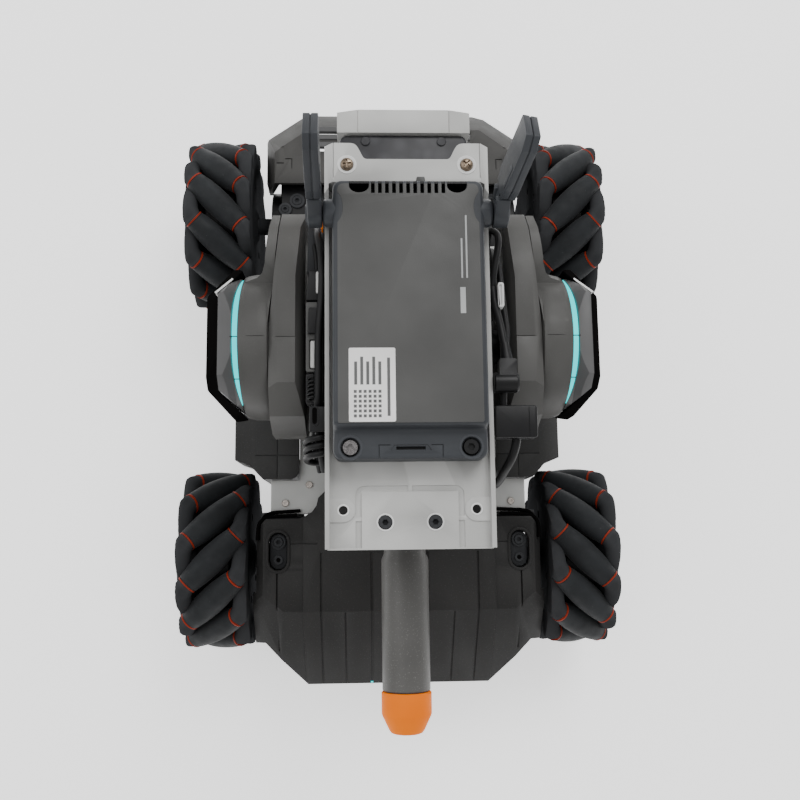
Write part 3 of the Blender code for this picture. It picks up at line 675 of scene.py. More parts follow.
def horn(lean, k):
    """The curved lobe that holds one roller's end and runs into the hub's rim."""
    reach = HORN_START * cos(ROLLER_SLANT)
    start_turn = atan2(reach, ROLLER_AXLE)
    stations = [
        (-0.2, 44.55, reach, 5.25), (2.4, 44.5, 14.6, 5.35), (6.0, 43.9, 15.7, 5.3), (11.0, 42.6, 15.9, 5.0),
        (17.0, 41.0, 15.6, 4.5), (24.0, 39.4, 15.2, 3.6),
    ]
    points = []
    for turn, radius, x, _ in stations:
        angle = start_turn + radians(turn)
        points.append(Vector((x, lean * radius * sin(angle), radius * cos(angle))))
    route = route_through(points, 3)
    radii = []
    for first, second in zip(stations, stations[1:]):
        radii += [first[3] + (second[3] - first[3]) * t / 3 for t in range(3)]
    radii.append(stations[-1][3])
    along = Vector((cos(ROLLER_SLANT), lean * sin(ROLLER_SLANT), 0))
    lobe = tube("horn", route, radii, 20, HUB, start_normal=along)
    for vert in lobe.data.vertices:
        vert.co.x = min(vert.co.x, WHEEL_HALF - 0.25)
        radius = hypot(vert.co.y, vert.co.z)
        if radius > WHEEL_RADIUS - 0.9:
            vert.co.yz = vert.co.yz * ((WHEEL_RADIUS - 0.9) / radius)
    lobe.data.transform(Matrix.Rotation(2 * pi * k / ROLLERS, 4, "X"))
    return lobe


def hub_plate(lean, outer):
    """A hub plate on the +X side of a wheel, with twelve horns round its rim."""
    if outer:
        face = [(30.5, 16.9), (14.5, 14.6), (12.6, 16.4), (11.8, 17.6), (0, 17.6)]
    else:
        face = [(30.5, 17.2), (12.0, 16.4), (8.0, 18.8), (5.0, 18.8), (5.0, 32.0), (4.4, 32.6), (0, 32.6)]
    profile = [
        (0, 9.7), (35.6, 9.7), (38.4, 11.2), (41.2, 13.6), (41.8, 16.6), (41.0, 18.3), (39.6, 18.9),
        (33.4, 18.9), *face,
    ]
    plate = lathe("hub", profile, "X", sides=72, material=HUB)
    pieces = [horn(lean, k) for k in range(ROLLERS)]
    if outer:
        for k in range(6):
            rib = prism(
                "rib", rounded_outline([(-2.4, 9), (2.4, 9), (1.7, 33), (-1.7, 33)], 0.6), "X", 13.0, 18.0
            )
            rib.data.transform(Matrix.Rotation(pi * (2 * k + 1) / 6, 4, "X"))
            pieces.append(rib)
    join(plate, *pieces)
    holes = []
    for k in range(6):
        angle = pi * k / 3
        centre = (23.5 * cos(angle), 23.5 * sin(angle))
        holes.append(disc("hole", 2.3, "X", centre, 13.9, 25.0, sides=20))
    cut(plate, *holes)
    return smooth(plate, 40)


def drum():
    """What lies between the two plates: a round core with chamfered ends."""
    profile = [(0, -9.5), (33.0, -9.5), (34.2, -8.0), (34.2, 8.0), (33.0, 9.5), (0, 9.5)]
    return lathe("drum", profile, "X", sides=48, material=BLACK)


def wheel_cap():
    """The cap at the middle of the outer hub, with a hexagon socket."""
    profile = [(0, 17.0), (10.2, 17.0), (10.2, 18.0), (9.4, 18.8), (5.4, 18.8), (4.9, 18.2), (0, 18.2)]
    cap = lathe("cap", profile, "X", sides=48, material=GLOSS_BLACK)
    return cut(cap, disc("socket", 2.4, "X", (0, 0), 17.5, 20.0, sides=6))


def wheels():
    sleeve, core, cap = sleeve_mesh(), drum(), wheel_cap()
    sets = {
        lean: (roller_rings(lean), hub_plate(lean, True), hub_plate(lean, False)) for lean in (1, -1)
    }
    half_turn = Matrix.Rotation(pi, 4, "Z")
    for end, end_sign in (("front", -1), ("rear", 1)):
        for hand, side in SIDES:
            name = f"{end}_{hand}"
            body = name + "_wheel"
            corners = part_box(name + "_roller_ring")
            centre = TO_WORLD.inverted() @ ((corners[0] + corners[1]) / 2)
            base = Matrix.Translation(centre) @ (Matrix.Identity(4) if side > 0 else half_turn)
            lean = side * end_sign
            rings, outer, inner = sets[lean]
            ring_node, outer_node, inner_node = (
                f"{name}_{n}"
                for n in ("roller_ring", "outer_hub", "inner_hub")
            )
            for k in range(ROLLERS):
                roller = twin(sleeve, f"{name}_roller_{k + 1:02d}")
                put(roller, body, "roller_rubber", matrix=base @ roller_place(k, lean))
            for part, source, matrix, slot, nodes in (
                ("drum", core, base, "roller_rubber", [ring_node]),
                ("roller_end_rings", rings, base, "signal_orange", []),
                ("outer_hub_plate", outer, base, "graphite_plastic", [outer_node]),
                ("inner_hub_plate", inner, base @ half_turn, "graphite_plastic", [inner_node]),
                ("hub_cap", cap, base, "black_plastic", []),
            ):
                put(twin(source, f"{name}_{part}"), body, slot, *nodes, matrix=matrix)
    for thing in (sleeve, core, cap, *sets[1], *sets[-1]):
        bpy.data.objects.remove(thing)


# ---------------------------------------------------------------- chassis


def armour_height(y):
    """The front armour's upper surface: flat, then falling along the nose."""
    return ARMOUR_TOP + min(0.0, y - NOSE_START) * NOSE_SLOPE


def along_nose(start, end, upper, lower):
    """A side outline (y, z) that follows the armour's surface, between two distances from it."""
    stations = [start, NOSE_START, end] if start > NOSE_START else [start, end]
    below = [(y, armour_height(y) + lower) for y in stations]
    above = [(y, armour_height(y) + upper) for y in reversed(stations)]
    return below + above


def nose_groove(x, start, end, width, floor):
    return prism("groove", along_nose(start, end, 4.0, floor), "X", x - width / 2, x + width / 2)


def hood():
    """The raised middle of the front armour, with its pressed lines."""
    half = [
        (50.8, -170.2), (HOOD_HALF, -168.9), (HOOD_HALF, -78.9), (50.2, -77.2), (46.6, -74.6), (44.3, -71.0),
        (43.5, -67.6), (39.7, -63.8),
    ]
    plate = prism("front_hood", along_nose(-60.0, -171.0, HOOD_RISE, -1.6), "X", -60, 60, ARMOUR)
    combined(plate, "INTERSECT", [prism("plan", half + mirrored(half), "Z", 30, 110)])
    grooves = [nose_groove(0, -97, -172, 29.0, HOOD_RISE - 0.35)]
    for side in (-1, 1):
        for x, start, width, depth in (
            (42.3, -97, 1.0, 1.0), (29.4, -128.5, 0.9, 1.0), (15.1, -97, 1.3, 1.1)
        ):
            grooves.append(nose_groove(side * x, start, -172, width, HOOD_RISE - depth))
        grooves.append(box("line", (side * 44, -92.3, HOOD_RISE + ARMOUR_TOP - 0.5), (side * 53, -91.8, 99)))
    cut(plate, *grooves)
    eased(plate, 0.45, 2)
    put(plate, "chassis", "graphite_plastic")


def front_armour():
    slices = [((side * 66, -125, 92), (side * 0.45, -0.55, 0.70)) for side in (-1, 1)]
    backs = []
    grooves = []
    for side in (-1, 1):
        grooves.append(nose_groove(side * 66, -107, -150.5, 0.9, -1.8))
        grooves.append(box("line", (side * 52, -92.3, ARMOUR_TOP - 0.5), (side * 59, -91.8, 99)))
        back = prism("back", along_nose(-118, -146, -1.0, -14.0), "X", side * 58, side * 79.5)
        backs.append(sliced(back, (side * 73, 0, ARMOUR_TOP), (side * 4, 0, 3)))
    refined("front_armour", 1.5, ARMOUR, 3, grooves, backs, slices)


def recesses():
    """The oval screw recesses of the front armour, and the lips over the wheel arches behind them."""
    for hand, side in SIDES:
        x, y = side * 65.5, -96
        rim = prism(f"{hand}_recess_rim", capsule(x, y, 6.5, 5.2), "Z", 90.8, 92.7, ARMOUR)
        cut(rim, prism("hollow", capsule(x, y, 5.0, 5.2), "Z", 80, 99))
        eased(rim, 0.4, 2)
        put(rim, "chassis", "graphite_plastic")
        refined(f"front_{hand}_armour_screw_plate", 0.6, HUB)
        ring = lathe(
            "ring", [(2.6, 88.8), (4.1, 88.8), (4.1, 89.6), (3.6, 90.0), (2.6, 89.3)], "Z", (x, y + 5), 32,
            HUB
        )
        ring.name = f"{hand}_recess_upper_ring"
        put(ring, "chassis", "graphite_plastic")
        socket_screw(f"{hand}_recess_screw", (x, y + 5), 2.7, 88.5, 90.2, HUB, "chassis", "black_plastic")
        eye = lathe(
            f"{hand}_recess_eye", [(1.2, 88.8), (2.7, 88.8), (2.7, 89.3), (2.3, 89.7), (1.2, 89.2)], "Z",
            (x, y - 4.6), 28, HUB
        )
        put(eye, "chassis", "graphite_plastic")
        hole = disc(f"{hand}_recess_hole", 1.25, "Z", (x, y - 4.6), 88.7, 89.1, GLOSS_BLACK)
        put(hole, "chassis", "black_plastic")
        for n, (drop, shift) in enumerate(((0.0, 0.0), (1.8, 2.4))):
            corners = [(76.6, -90), (76.4, -83), (74.6, -79.2), (70.5, -77.5), (63, -77.0), (55.5, -76.6)]
            points = [(side * (cx - shift * 0.7), cy + shift, 90.2 - drop) for cx, cy in corners]
            lip = tube(f"{hand}_arch_lip_{n + 1}", route_through(points, 5), 0.95, 12, GLOSS_BLACK)
            put(lip, "chassis", "black_plastic")
        filler = prism(
            f"{hand}_arch_filler",
            [(side * 52, -79.5), (side * 76, -81), (side * 75, -75), (side * 52, -73.5)], "Z", 79.0, 86.6,
            BLACK
        )
        put(eased(filler, 0.5, 2), "chassis", "black_plastic")


def nose():
    refined("front_hit_panel", 0.4, GLOSS_BLACK)
    refined("front_light_bar", 0.2, LIGHT)
    # A glowing strip in the nose's front edge: painted light, standing for the light bar's glow spilling onto
    # the armour edge.
    glow = prism("nose_light_edge", along_nose(-169.2, -170.2, 0.12, -1.2), "X", -27, 27, LIGHT)
    put(glow, "chassis", "cyan_light")


def side_armour():
    for hand, side in SIDES:
        grooves = [
            box("line", (side * 65.8, -60, 91.5), (side * 66.3, 60, 99)),
            box("line", (side * 50, -44.3, 91.5), (side * 78, -43.8, 99)),
        ]
        # The side armour gets the lighter graphite copy: painted light.
        refined(f"{hand}_side_armour", 2.0, FLANK_PAINTED_LIGHT, 4, grooves)


def rear_armour():
    """The rear hatch with louvres between its corners and small pressed marks on them."""
    marks = []
    for side in (-1, 1):
        for x0, x1, y0, y1 in (
            (64.4, 68.4, 136.8, 137.4), (64.3, 68.4, 126.9, 127.5), (59.4, 63.5, 129.5, 130.1),
            (59.4, 60.0, 123.8, 130.1)
        ):
            marks.append(box("mark", (side * x0, y0, 83.2), (side * x1, y1, 90)))
    # The hatch gets the lighter graphite copy: painted light for the brighter lit rear.
    refined("rear_armour", 1.4, HATCH_PAINTED_LIGHT, 3, marks)
    for n, y in enumerate((138.4, 143.1, 147.8)):
        bar = prism(
            f"hatch_louvre_{n + 1}", [(y - 1.9, 82.0), (y + 1.9, 82.0), (y + 1.5, 84.9), (y - 1.5, 84.9)],
            "X", -45, 45, BLOCK
        )
        eased(bar, 0.4, 2)
        put(bar, "rear_hatch", "graphite_plastic")
    refined("rear_hinge_pin", 0.3, STEEL, 2)


def chassis():
    front_armour()
    hood()
    recesses()
    nose()
    side_armour()
    rear_armour()
    refined("chassis_tub", 1.0, HUB)
    refined("chassis_deck", 0.8, SILVER)
    refined("battery", 2.0, BLACK)
    refined("rear_cabin_cover", 0.9, BLACK)
    refined("yaw_motor", 0.8, HUB)
    refined("front_axle_beam", 1.0, SLATE)
    for side in (-1, 1):
        for n, (x, y, head) in enumerate(((57.0, 107.2, 3.0), (50.5, 84.0, 2.6), (64.0, 102.0, 2.4))):
            name = f"cabin_screw_{'left' if side < 0 else 'right'}_{n + 1}"
            collar = lathe(
                name + "_collar", [(head, 75.3), (head + 1.7, 75.3), (head + 1.4, 76.6), (head, 76.9)], "Z",
                (side * x, y), 28, HUB
            )
            put(collar, "chassis", "black_plastic")
            socket_screw(name, (side * x, y), head, 75.2, 77.0, HUB, "chassis", "black_plastic")
    for name in ("front_left", "front_right", "rear_left", "rear_right"):
        refined(name + "_motor", 0.8, BLACK)
    for n, (x, y) in enumerate(
        ((47, 60.5), (-47, 60.5), (49, -60), (-49, -60), (63, 66), (-63, 66), (62, -70), (-62, -70))
    ):
        socket_screw(f"deck_screw_{n + 1}", (x, y), 2.0, 87.3, 88.6, STEEL, "chassis", "steel")


# ---------------------------------------------------------------- gimbal


def bow(y, reach, half=33.0, power=2.0):
    """How far an end face stands out at y: a shallow arc across the pod."""
    return reach * max(0.0, 1 - abs(y / half) ** power)


def pod_skirt():
    """The plate that the pod's drum runs out into, over the outer side of the arm's fin."""
    plan = [
        (60.4, 57.9), (61.3, 52), (62.6, 42), (63.3, 33.5), (64.6, 29.4), (67.0, 27.2), (72.4, 25.4),
        (72.4, 5.0), (61.4, 5.0), (57.1, 53.0), (56.8, 57.9),
    ]
    side_view = [
        (5, 150), (5, 201.5), (14, 199), (20, 195.8), (25, 192.2), (30, 194), (36, 196.8), (46, 196.0),
        (50.5, 195), (57.9, 189.6), (57.9, 176), (44, 154.4), (33, 137), (20, 140),
    ]
    skirt = prism("skirt", plan, "Z", 130, 210, POD)
    return combined(skirt, "INTERSECT", [prism("side", side_view, "X", 50, 80)])


def drum_cover(hand):
    """The round pod cover, whose outer end bows out, with the skirt that it runs into."""
    profile = [
        (0, 61.2), (32.6, 61.2), (33.9, 61.6), (34.4, 62.6), (34.5, 66.0), (34.3, 69.5), (33.7, 72.0),
        (33.2, 73.4), (32.6, DRUM_END), (0, DRUM_END),
    ]
    cover = lathe(f"{hand}_pod_shell", profile, "X", (0, PITCH_Z), 96, POD)
    for vert in cover.data.vertices:
        part = min(1.0, max(0.0, (vert.co.x - 63.0) / 10.8))
        vert.co.x += bow(vert.co.y, DRUM_BOW) * part * part * (3 - 2 * part)
    join(cover, pod_skirt())
    return cut(cover, box("line", (62.8, -1.8, PITCH_Z + 34.05), (72.0, -1.45, PITCH_Z + 40)))


def light_strip(hand):
    """The lit crescent between the drum cover and the block."""
    profile = [(0, 72.9), (31.4, 72.9), (32.9, 73.5), (LIGHT_RADIUS, 74.2), (32.6, 74.5), (0, 74.5)]
    glow = lathe(f"{hand}_light_strip", profile, "X", (0, PITCH_Z), 96, LIGHT)
    for vert in glow.data.vertices:
        inner = vert.co.x < DRUM_END
        vert.co.x += bow(vert.co.y, DRUM_BOW) if inner else bow(vert.co.y, 2.8, LIGHT_HALF, LIGHT_CURVE) - 0.3
    rear = box("rear", (60, 28.2, 120), (90, 40, 220))
    front = box("front", (60, -40, 120), (90, 0.1 - LIGHT_HALF, 220))
    return cut(glow, rear, front)


def light_dividers(hand):
    """The two thin dark fins across the light strip."""
    fins = []
    for n, y in enumerate((-1.6, -19.5)):
        z = PITCH_Z + ((LIGHT_RADIUS + 0.05) ** 2 - y ** 2) ** 0.5
        corners = (73.6, y - 0.17, z - 3.0), (77.9, y + 0.17, z + 0.06)
        fins.append(box(f"{hand}_light_divider_{n + 1}", *corners, BLACK))
    return fins


def eight_sided(thing):
    """Clips a pod's outer piece to eight sides, seen from beside."""
    for s in (-1, 1):
        for t in (-1, 1):
            sliced(thing, (0, s * 34, PITCH_Z + t * 16), (0, s, t * 0.9))
    return thing


def pod_block(hand):
    stations = (-31.8, 0.1 - LIGHT_HALF, -27.5, -24, -20, -14, -6, 6, 14, 20, 24, 26.5, 28.8)
    curve = [(74.2 + bow(y, 3.2, LIGHT_HALF, LIGHT_CURVE), y) for y in stations]
    plan = [*curve, (76.0, 28.8), (83.2, 17.2), (83.2, -24.4)]
    block = prism(f"{hand}_pod_block", plan, "Z", PITCH_Z - 33.0, PITCH_Z + 33.0, BLOCK)
    cone = [(0, 60), (33.2, 60), (33.2, 76.5), (38.5, 81.5), (46, 88), (0, 88)]
    combined(block, "INTERSECT", [lathe("cone", cone, "X", (0, PITCH_Z), 96)])
    return eased(eight_sided(block), 0.7, 3)


def pod_trim(hand):
    """The black target plate round the block, with its corners cut off."""
    plan = [
        (74.2, 32.8), (79.0, 34.8), (POD_OUT, 21.4), (POD_OUT, -21.4), (79.0, -34.8), (74.2, -32.8),
        (83.5, -24.6), (83.5, 17.4), (75.6, 29.6),
    ]
    trim = prism(f"{hand}_pod_armour", plan, "Z", PITCH_Z - 32.7, PITCH_Z + 32.7, GLOSS_BLACK)
    eight_sided(trim)
    for t in (-1, 1):
        sliced(trim, (POD_OUT, 0, PITCH_Z + t * 12), (20.7, 0, t * 8.3))
        for s in (-1, 1):
            reach = 17 if s > 0 and t > 0 else 11
            sliced(trim, (POD_OUT, s * 18, PITCH_Z + t * reach), (0.52, s * 0.50, t * 0.42))
    return eased(trim, 0.9, 3)


def pod_painted_highlight(hand):
    """A pale strip between the block and the target plate, at the rear: a painted highlight standing for the
    reflection along that edge.
    """
    plan = [(84.9, 18.9), (84.0, 18.3), (77.9, 27.6), (78.8, 28.2)]
    edge = prism(f"{hand}_pod_bright_edge", plan, "Z", 170, 200, BRIGHT)
    sliced(edge, (0, 32.8, PITCH_Z + 16), (0, 1, 0.9))
    return sliced(edge, (0, 32.8, PITCH_Z + 8), (0, -1, -0.9))


def pod(hand, side):
    """One side pod: arm, drum cover, lit crescent, grey block and the black armour round it."""
    wedge = ((side * 45.5, 0, 192.0), (-side * 8.5, 0, 3.7))
    crown = ((side * 57.0, 0, 200.5), (side * 3.2, 0, 9.0))
    seam = ((side * 56.6, 53, 0), (side * 49.5, 4.3, 0))
    line = box("line", (side * 49, -1.8, 200.0), (side * 60.8, -1.45, 210))
    refined(f"{hand}_arm", 1.8, POD, 4, [line], slices=(wedge, crown, seam))
    pieces = [
        (drum_cover(hand), "graphite_plastic", [f"{hand}_pod_cover"]),
        (light_strip(hand), "cyan_light", [f"{hand}_light_ring"]),
    ]
    pieces += [(fin, "black_plastic", []) for fin in light_dividers(hand)]
    pieces += [
        (pod_block(hand), "slate_plastic", [f"{hand}_hit_block"]),
        (pod_trim(hand), "black_plastic", [f"{hand}_hit_armour"]),
        # The pale strip is a painted highlight, not a part.
        (pod_painted_highlight(hand), "silver_plastic", []),
    ]
    for piece, slot, nodes in pieces:
        if side < 0:
            turned_over(piece)
        smooth(piece, 30)
        put(piece, "gimbal_yoke", slot, *nodes)
    for n, (y, z) in enumerate(((0, 181), (0, 155), (13, 168), (-13, 168))):
        name = f"{hand}_arm_screw_{n + 1}"
        socket_screw(name, (y, z), 2.2, side * 45.9, side * 44.6, STEEL, "gimbal_yoke", "steel", "X")


def gimbal():
    refined("turntable", 1.2, POD)
    for hand, side in SIDES:
        pod(hand, side)


# ---------------------------------------------------------------- blaster head


def barrel():
    profile = [
        (4.0, -74.3), (9.6, -74.3), (9.8, -95.5), (10.1, -97.5), (11.2, -100.2), (11.2, -159.5),
        (10.7, -160.1), (4.0, -160.1)
    ]
    tube_piece = lathe("barrel_tube", profile, "Y", (0, BARREL_Z), 64, BARREL)
    on_head(tube_piece, "slate_plastic", "blaster_barrel")
    profile = [
        (4.0, -160.4), (11.2, -160.4), (11.7, -161.0), (11.7, -170.2), (11.4, -171.2), (8.3, -177.6),
        (7.4, -178.8), (6.4, -179.2), (4.6, -179.2), (4.0, -178.6)
    ]
    tip = lathe("muzzle_cap", profile, "Y", (0, BARREL_Z), 64, ORANGE)
    on_head(tip, "signal_orange", "muzzle_tip")


def housing():
    vents = [
        box("vent", (side * 33.4, y, 190), (side * 31.8, y + 1.6, 203))
        for side in (-1, 1)
        for y in range(-6, 20, 4)
    ]
    refined("blaster_housing", 1.6, BLACK, 3, vents)
    for hand, side in SIDES:
        profile = [
            (0, side * 32.8), (21.0, side * 32.8), (21.0, side * 34.6), (20.2, side * 35.4),
            (14.6, side * 35.4), (14.0, side * 34.8), (0, side * 34.8)
        ]
        plate = lathe(f"{hand}_pitch_plate", profile, "X", (0, PITCH_Z), 64, SLATE)
        on_head(plate, "black_plastic")
        for n in range(4):
            turn = pi / 4 + n * pi / 2
            centre = (17.4 * cos(turn), PITCH_Z + 17.4 * sin(turn))
            socket_screw(
                f"{hand}_pitch_screw_{n + 1}", centre, 1.7, side * 35.2, side * 36.2, STEEL, "blaster_head",
                "steel", "X"
            )
    refined("camera_module", 1.4, BLACK)
    profile = [(6.2, -93.6), (8.9, -93.6), (8.9, -94.6), (8.3, -95.0), (6.6, -94.6), (6.2, -94.2)]
    bezel = lathe("lens_bezel", profile, "Y", (0, 196.5), 48, GLOSS_BLACK)
    on_head(bezel, "black_plastic")
    dome = [(6.4 * cos(radians(a)), -94.0 - 0.9 * sin(radians(a))) for a in (0, 20, 40, 60, 78)]
    glass = lathe("lens_glass", [(0, -93.5), (6.4, -93.5), *dome, (0, -94.9)], "Y", (0, 196.5), 48, GLASS)
    on_head(glass, "black_plastic")


def container():
    lines = [box("line", (side * 21.0 - 0.14, 90, 199.1), (side * 21.0 + 0.14, 110, 205)) for side in (-1, 1)]
    refined("container_cap", 1.3, SILVER, 4, lines)
    refined("bead_container", 1.8, SMOKED, 4)
    for hand, side in SIDES:
        for n, y in enumerate((90.6, 46.0)):
            boss = lathe(
                f"{hand}_container_boss_{n + 1}",
                [(0, 196.0), (2.2, 196.0), (2.2, 197.8), (1.9, 198.1), (0, 198.1)], "Z", (side * 17.5, y), 28,
                SMOKED
            )
            put(boss, "bead_box", "smoked_plastic")


def tray():
    """The silver tray: a floor between two rails, with a pressed frame, screw pads and a rear bridge."""
    floor = prism(
        "silver_tray",
        rounded_outline(rectangle(-TRAY_HALF, -95, TRAY_HALF, 62), [2.5, 2.5, 1, 1]), "Z", 209.7,
        TRAY_TOP, SILVER
    )
    side_view = [
        (-94.6, 209.7), (63, 209.7), (78, 217.5), (78, 224.5), (60.5, 224.5), (54, 217.2), (-94.6, 217.2)
    ]
    rails = [prism("rail", side_view, "X", side * 33.6, side * 35.5) for side in (-1, 1)]
    notch = [
        (-35, 60.5), (35, 60.5), (35, 78), (22.0, 78), (18.4, 70.8), (-18.4, 70.8), (-22.0, 78), (-35, 78)
    ]
    bridge = prism(
        "bridge", rounded_outline(notch, [0.5, 0.5, 0.8, 4.0, 2.2, 2.2, 4.0, 0.8]), "Z", 221.5, 224.5
    )
    riser = box("riser", (-TRAY_HALF, 60.5, 210), (TRAY_HALF, 62.6, 223))
    pad = prism("pad", rectangle(-20.3, -95, 20.3, -71), "Z", 211, 213.2)
    lip = box("lip", (-TRAY_HALF, -95, 211), (TRAY_HALF, -94.2, 213.2))
    join(floor, *rails, bridge, riser, pad, lip)
    for side in (-1, 1):
        sliced(floor, (side * 31.9, 0, 224.5), (side * 0.75, 0, 0.66))
    ears = []
    holes = []
    for side in (-1, 1):
        arc = [(side * (28 - 5 * cos(pi * k / 12)), -78.5 + 5 * sin(pi * k / 12)) for k in range(-6, 7)]
        ears.append(prism("ear", [*arc, (side * 34, -73.5), (side * 34, -83.5)], "Z", 211, 213.1))
        holes.append(disc("hole", 1.9, "Z", beside(side, TRAY_HOLE), 205, 220, sides=28))
        holes.append(disc("sink", 3.0, "Z", (side * 10.5, -83.7), 211.2, 220, sides=28))
    join(floor, *ears)
    ring = prism(
        "ring", rounded_outline(rectangle(-22.9, -99, 22.9, -68.4), [0, 0, 4.5, 4.5], 8), "Z",
        TRAY_TOP - 0.55, 216
    )
    cut(ring, prism("inside", rectangle(-20.3, -100, 20.3, -71), "Z", 205, 220))
    cut(
        ring, box("gap", (-0.9, -75, 205), (0.9, -60, 220)), box("gap", (-30, -83.1, 205), (30, -81.3, 220)),
        box("front", (-30, -105, 205), (30, -94.2, 220)),
    )
    holes += [
        box("line", (side * 31.5 - 0.16, 62.4, 223.8), (side * 31.5 + 0.16, 80, 230))
        for side in (-1, 1)
    ]
    cut(floor, ring, *holes)
    eased(floor, 0.35, 2)
    on_head(floor, "silver_plastic", "top_tray")


def tray_fittings():
    """The tray's screws, the bright edges of its holes, and the tab on its bridge."""
    for hand, side in SIDES:
        node = f"tray_front_{hand}_screw"
        lower, upper = (TO_WORLD.inverted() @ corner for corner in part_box(node))
        centre = ((lower.x + upper.x) / 2, (lower.y + upper.y) / 2)
        head = socket_screw(
            f"tray_{hand}_hex_screw", centre, 2.9, lower.z, upper.z + 0.4, HUB, "blaster_head",
            "black_plastic"
        )
        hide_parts(node)
        rings = (
            ("countersink", centre, 3.05, 3.75, 213.0),
            ("hole_edge", beside(side, TRAY_HOLE), 1.9, 2.6, 212.9),
            ("washer", beside(side, BRIDGE_SCREW), 2.9, 4.2, 224.3)
        )
        for name, place, inner, outer, level in rings:
            profile = [
                (inner, level), (outer, level), (outer, level + 0.35), (outer - 0.2, level + 0.5),
                (inner, level + 0.4)
            ]
            on_head(lathe(f"tray_{hand}_{name}", profile, "Z", place, 40, BRIGHT), "silver_plastic")
        pan = lathe(
            f"tray_{hand}_pan_screw",
            [(0, 224.0), (2.8, 224.0), (2.8, 225.2), (2.4, 225.9), (1.5, 226.3), (0, 226.4)], "Z",
            beside(side, BRIDGE_SCREW), 32, BRONZE
        )
        turn = 0.5 + 0.4 * side
        slots = []
        for extra in (0, pi / 2):
            slot = box("slot", (-1.8, -0.38, 225.3), (1.8, 0.38, 230))
            slot.data.transform(
                Matrix.Translation((*beside(side, BRIDGE_SCREW), 0)) @ Matrix.Rotation(turn + extra, 4, "Z")
            )
            slots.append(slot)
        cut(pan, *slots)
        on_head(pan, "steel")
    tab = prism(
        "bridge_tab", rounded_outline([(3.2, 58.3), (8.0, 58.3), (7.5, 62.8), (4.2, 62.8)], 0.5), "Z", 222.5,
        225.0, CASE
    )
    on_head(eased(tab, 0.3, 2), "slate_plastic")


def rear_openings():
    """Cutters for the row of vents and the two wire mouths at the controller's rear edge."""
    cutters = []
    for k in range(11):
        x = (k - 5) * 2.96
        cutters.append(box("vent", (x - 0.75, 52.7, 224.5), (x + 0.75, 62, 240)))
    for side in (-1, 1):
        mouth = [(side * (20.6 + 4.2 * cos(pi * k / 10)), 56.0 - 3.1 * sin(pi * k / 10)) for k in range(11)]
        cutters.append(prism("mouth", [*mouth, (side * 16.4, 62), (side * 24.8, 62)], "Z", 223.5, 240))
    return cutters


def controller():
    """The controller box: slate lower shell and ledge, grey top, vents and port."""
    plan = rounded_outline(rectangle(-CASE_HALF, -CASE_END, CASE_HALF, CASE_END), 4.2, 6)
    base = prism("controller_lower_shell", plan, "Z", 212.9, 221.9, SLATE)
    eased(base, 0.7, 2)
    on_head(base, "slate_plastic", "controller_base")
    shell = prism("controller_shell", plan, "Z", 222.0, CASE_TOP, SLATE)
    step = [(-60, LEDGE_TOP), (LEDGE_END, LEDGE_TOP), (LEDGE_END + 2.2, CASE_TOP + 1), (-60, CASE_TOP + 1)]
    cut(shell, prism("step", step, "X", -40, 40))
    eased(shell, 1.7, 4)
    cuts = [
        disc("well", 4.5, "Z", beside(side, LEDGE_SCREW), LEDGE_TOP - 2.4, 240, sides=40)
        for side in (-1, 1)
    ]
    cuts.append(box("port", (-6.0, -54.6, 223.5), (6.0, -53.3, 230)))
    bezel = [(-8.6, -54.9), (8.6, -54.9), (6.9, -52.6), (-6.9, -52.6)]
    cuts.append(prism("bezel", bezel, "Z", LEDGE_TOP - 0.35, 230))
    for x0, x1, y0, y1 in (
        (-12.9, -8.4, -52.9, -52.5), (8.4, 12.9, -52.9, -52.5), (-13.3, -12.8, -60, -52.5),
        (12.8, 13.3, -60, -52.5)
    ):
        cuts.append(box("line", (x0, y0, LEDGE_TOP - 0.5), (x1, y1, 230)))
    cut(shell, *cuts, *rear_openings())
    on_head(shell, "slate_plastic", "controller_cover")

    plan = rounded_outline(rectangle(-29.7, -44.2, 29.7, 56.9), [1.0, 1.0, 3, 3], 5)
    top = prism("controller_top_skin", plan, "Z", CASE_TOP - 1.2, CASE_TOP + 0.12, CASE)
    for side in (-1, 1):
        bay = [(side * CASE_HALF + 4.4 * cos(pi * k / 12), 46.5 + 7.5 * sin(pi * k / 12)) for k in range(24)]
        cut(top, prism("bay", bay, "Z", 225, 240))
    cut(top, *rear_openings())
    # A black sheet behind the vents and wire mouths: painted shade, so the openings read dark.
    on_head(box("vent_backing", (-25.0, 57.2, 223.0), (25.0, 58.2, 231.2), BLACK), "black_plastic")
    on_head(eased(top, 0.5, 3), "slate_plastic")


def controller_fittings():
    """What sits in and on the controller: port floor, screws, mouths, hinge bosses and label."""
    on_head(box("port_dark", (-6.2, -54.8, 223.2), (6.2, -53.1, 223.9), BLACK), "black_plastic")
    for hand, side in SIDES:
        finish = STEEL_DARK if side < 0 else BLACK
        socket_screw(
            f"controller_{hand}_screw", beside(side, LEDGE_SCREW), 3.4, LEDGE_TOP - 2.6, LEDGE_TOP - 0.5,
            finish, "blaster_head", "black_plastic"
        )
        profile = [
            (3.9, LEDGE_TOP - 0.4), (5.3, LEDGE_TOP - 0.4), (5.1, LEDGE_TOP + 0.12), (4.2, LEDGE_TOP + 0.12)
        ]
        ring = lathe(f"controller_{hand}_well_edge", profile, "Z", beside(side, LEDGE_SCREW), 40, SLATE)
        on_head(ring, "slate_plastic")
        # A gloss black floor in each wire mouth: painted shade for the opening's depth.
        well = disc(
            f"controller_{hand}_mouth_floor", 4.4, "Z", (side * 20.6, 56.6), 222.6, 223.7, GLOSS_BLACK
        )
        for vert in well.data.vertices:
            vert.co.y = min(vert.co.y, 58.1)
        on_head(well, "black_plastic")
        profile = [(0, 28.2), (5.9, 28.2), (6.0, 34.2), (5.4, 35.4), (4.6, 35.9), (0, 35.9)]
        boss = lathe(f"controller_{hand}_hinge_boss", profile, "X", HINGE_AT, 40, SLATE)
        if side < 0:
            turned_over(boss)
        on_head(boss, "slate_plastic")
    label()


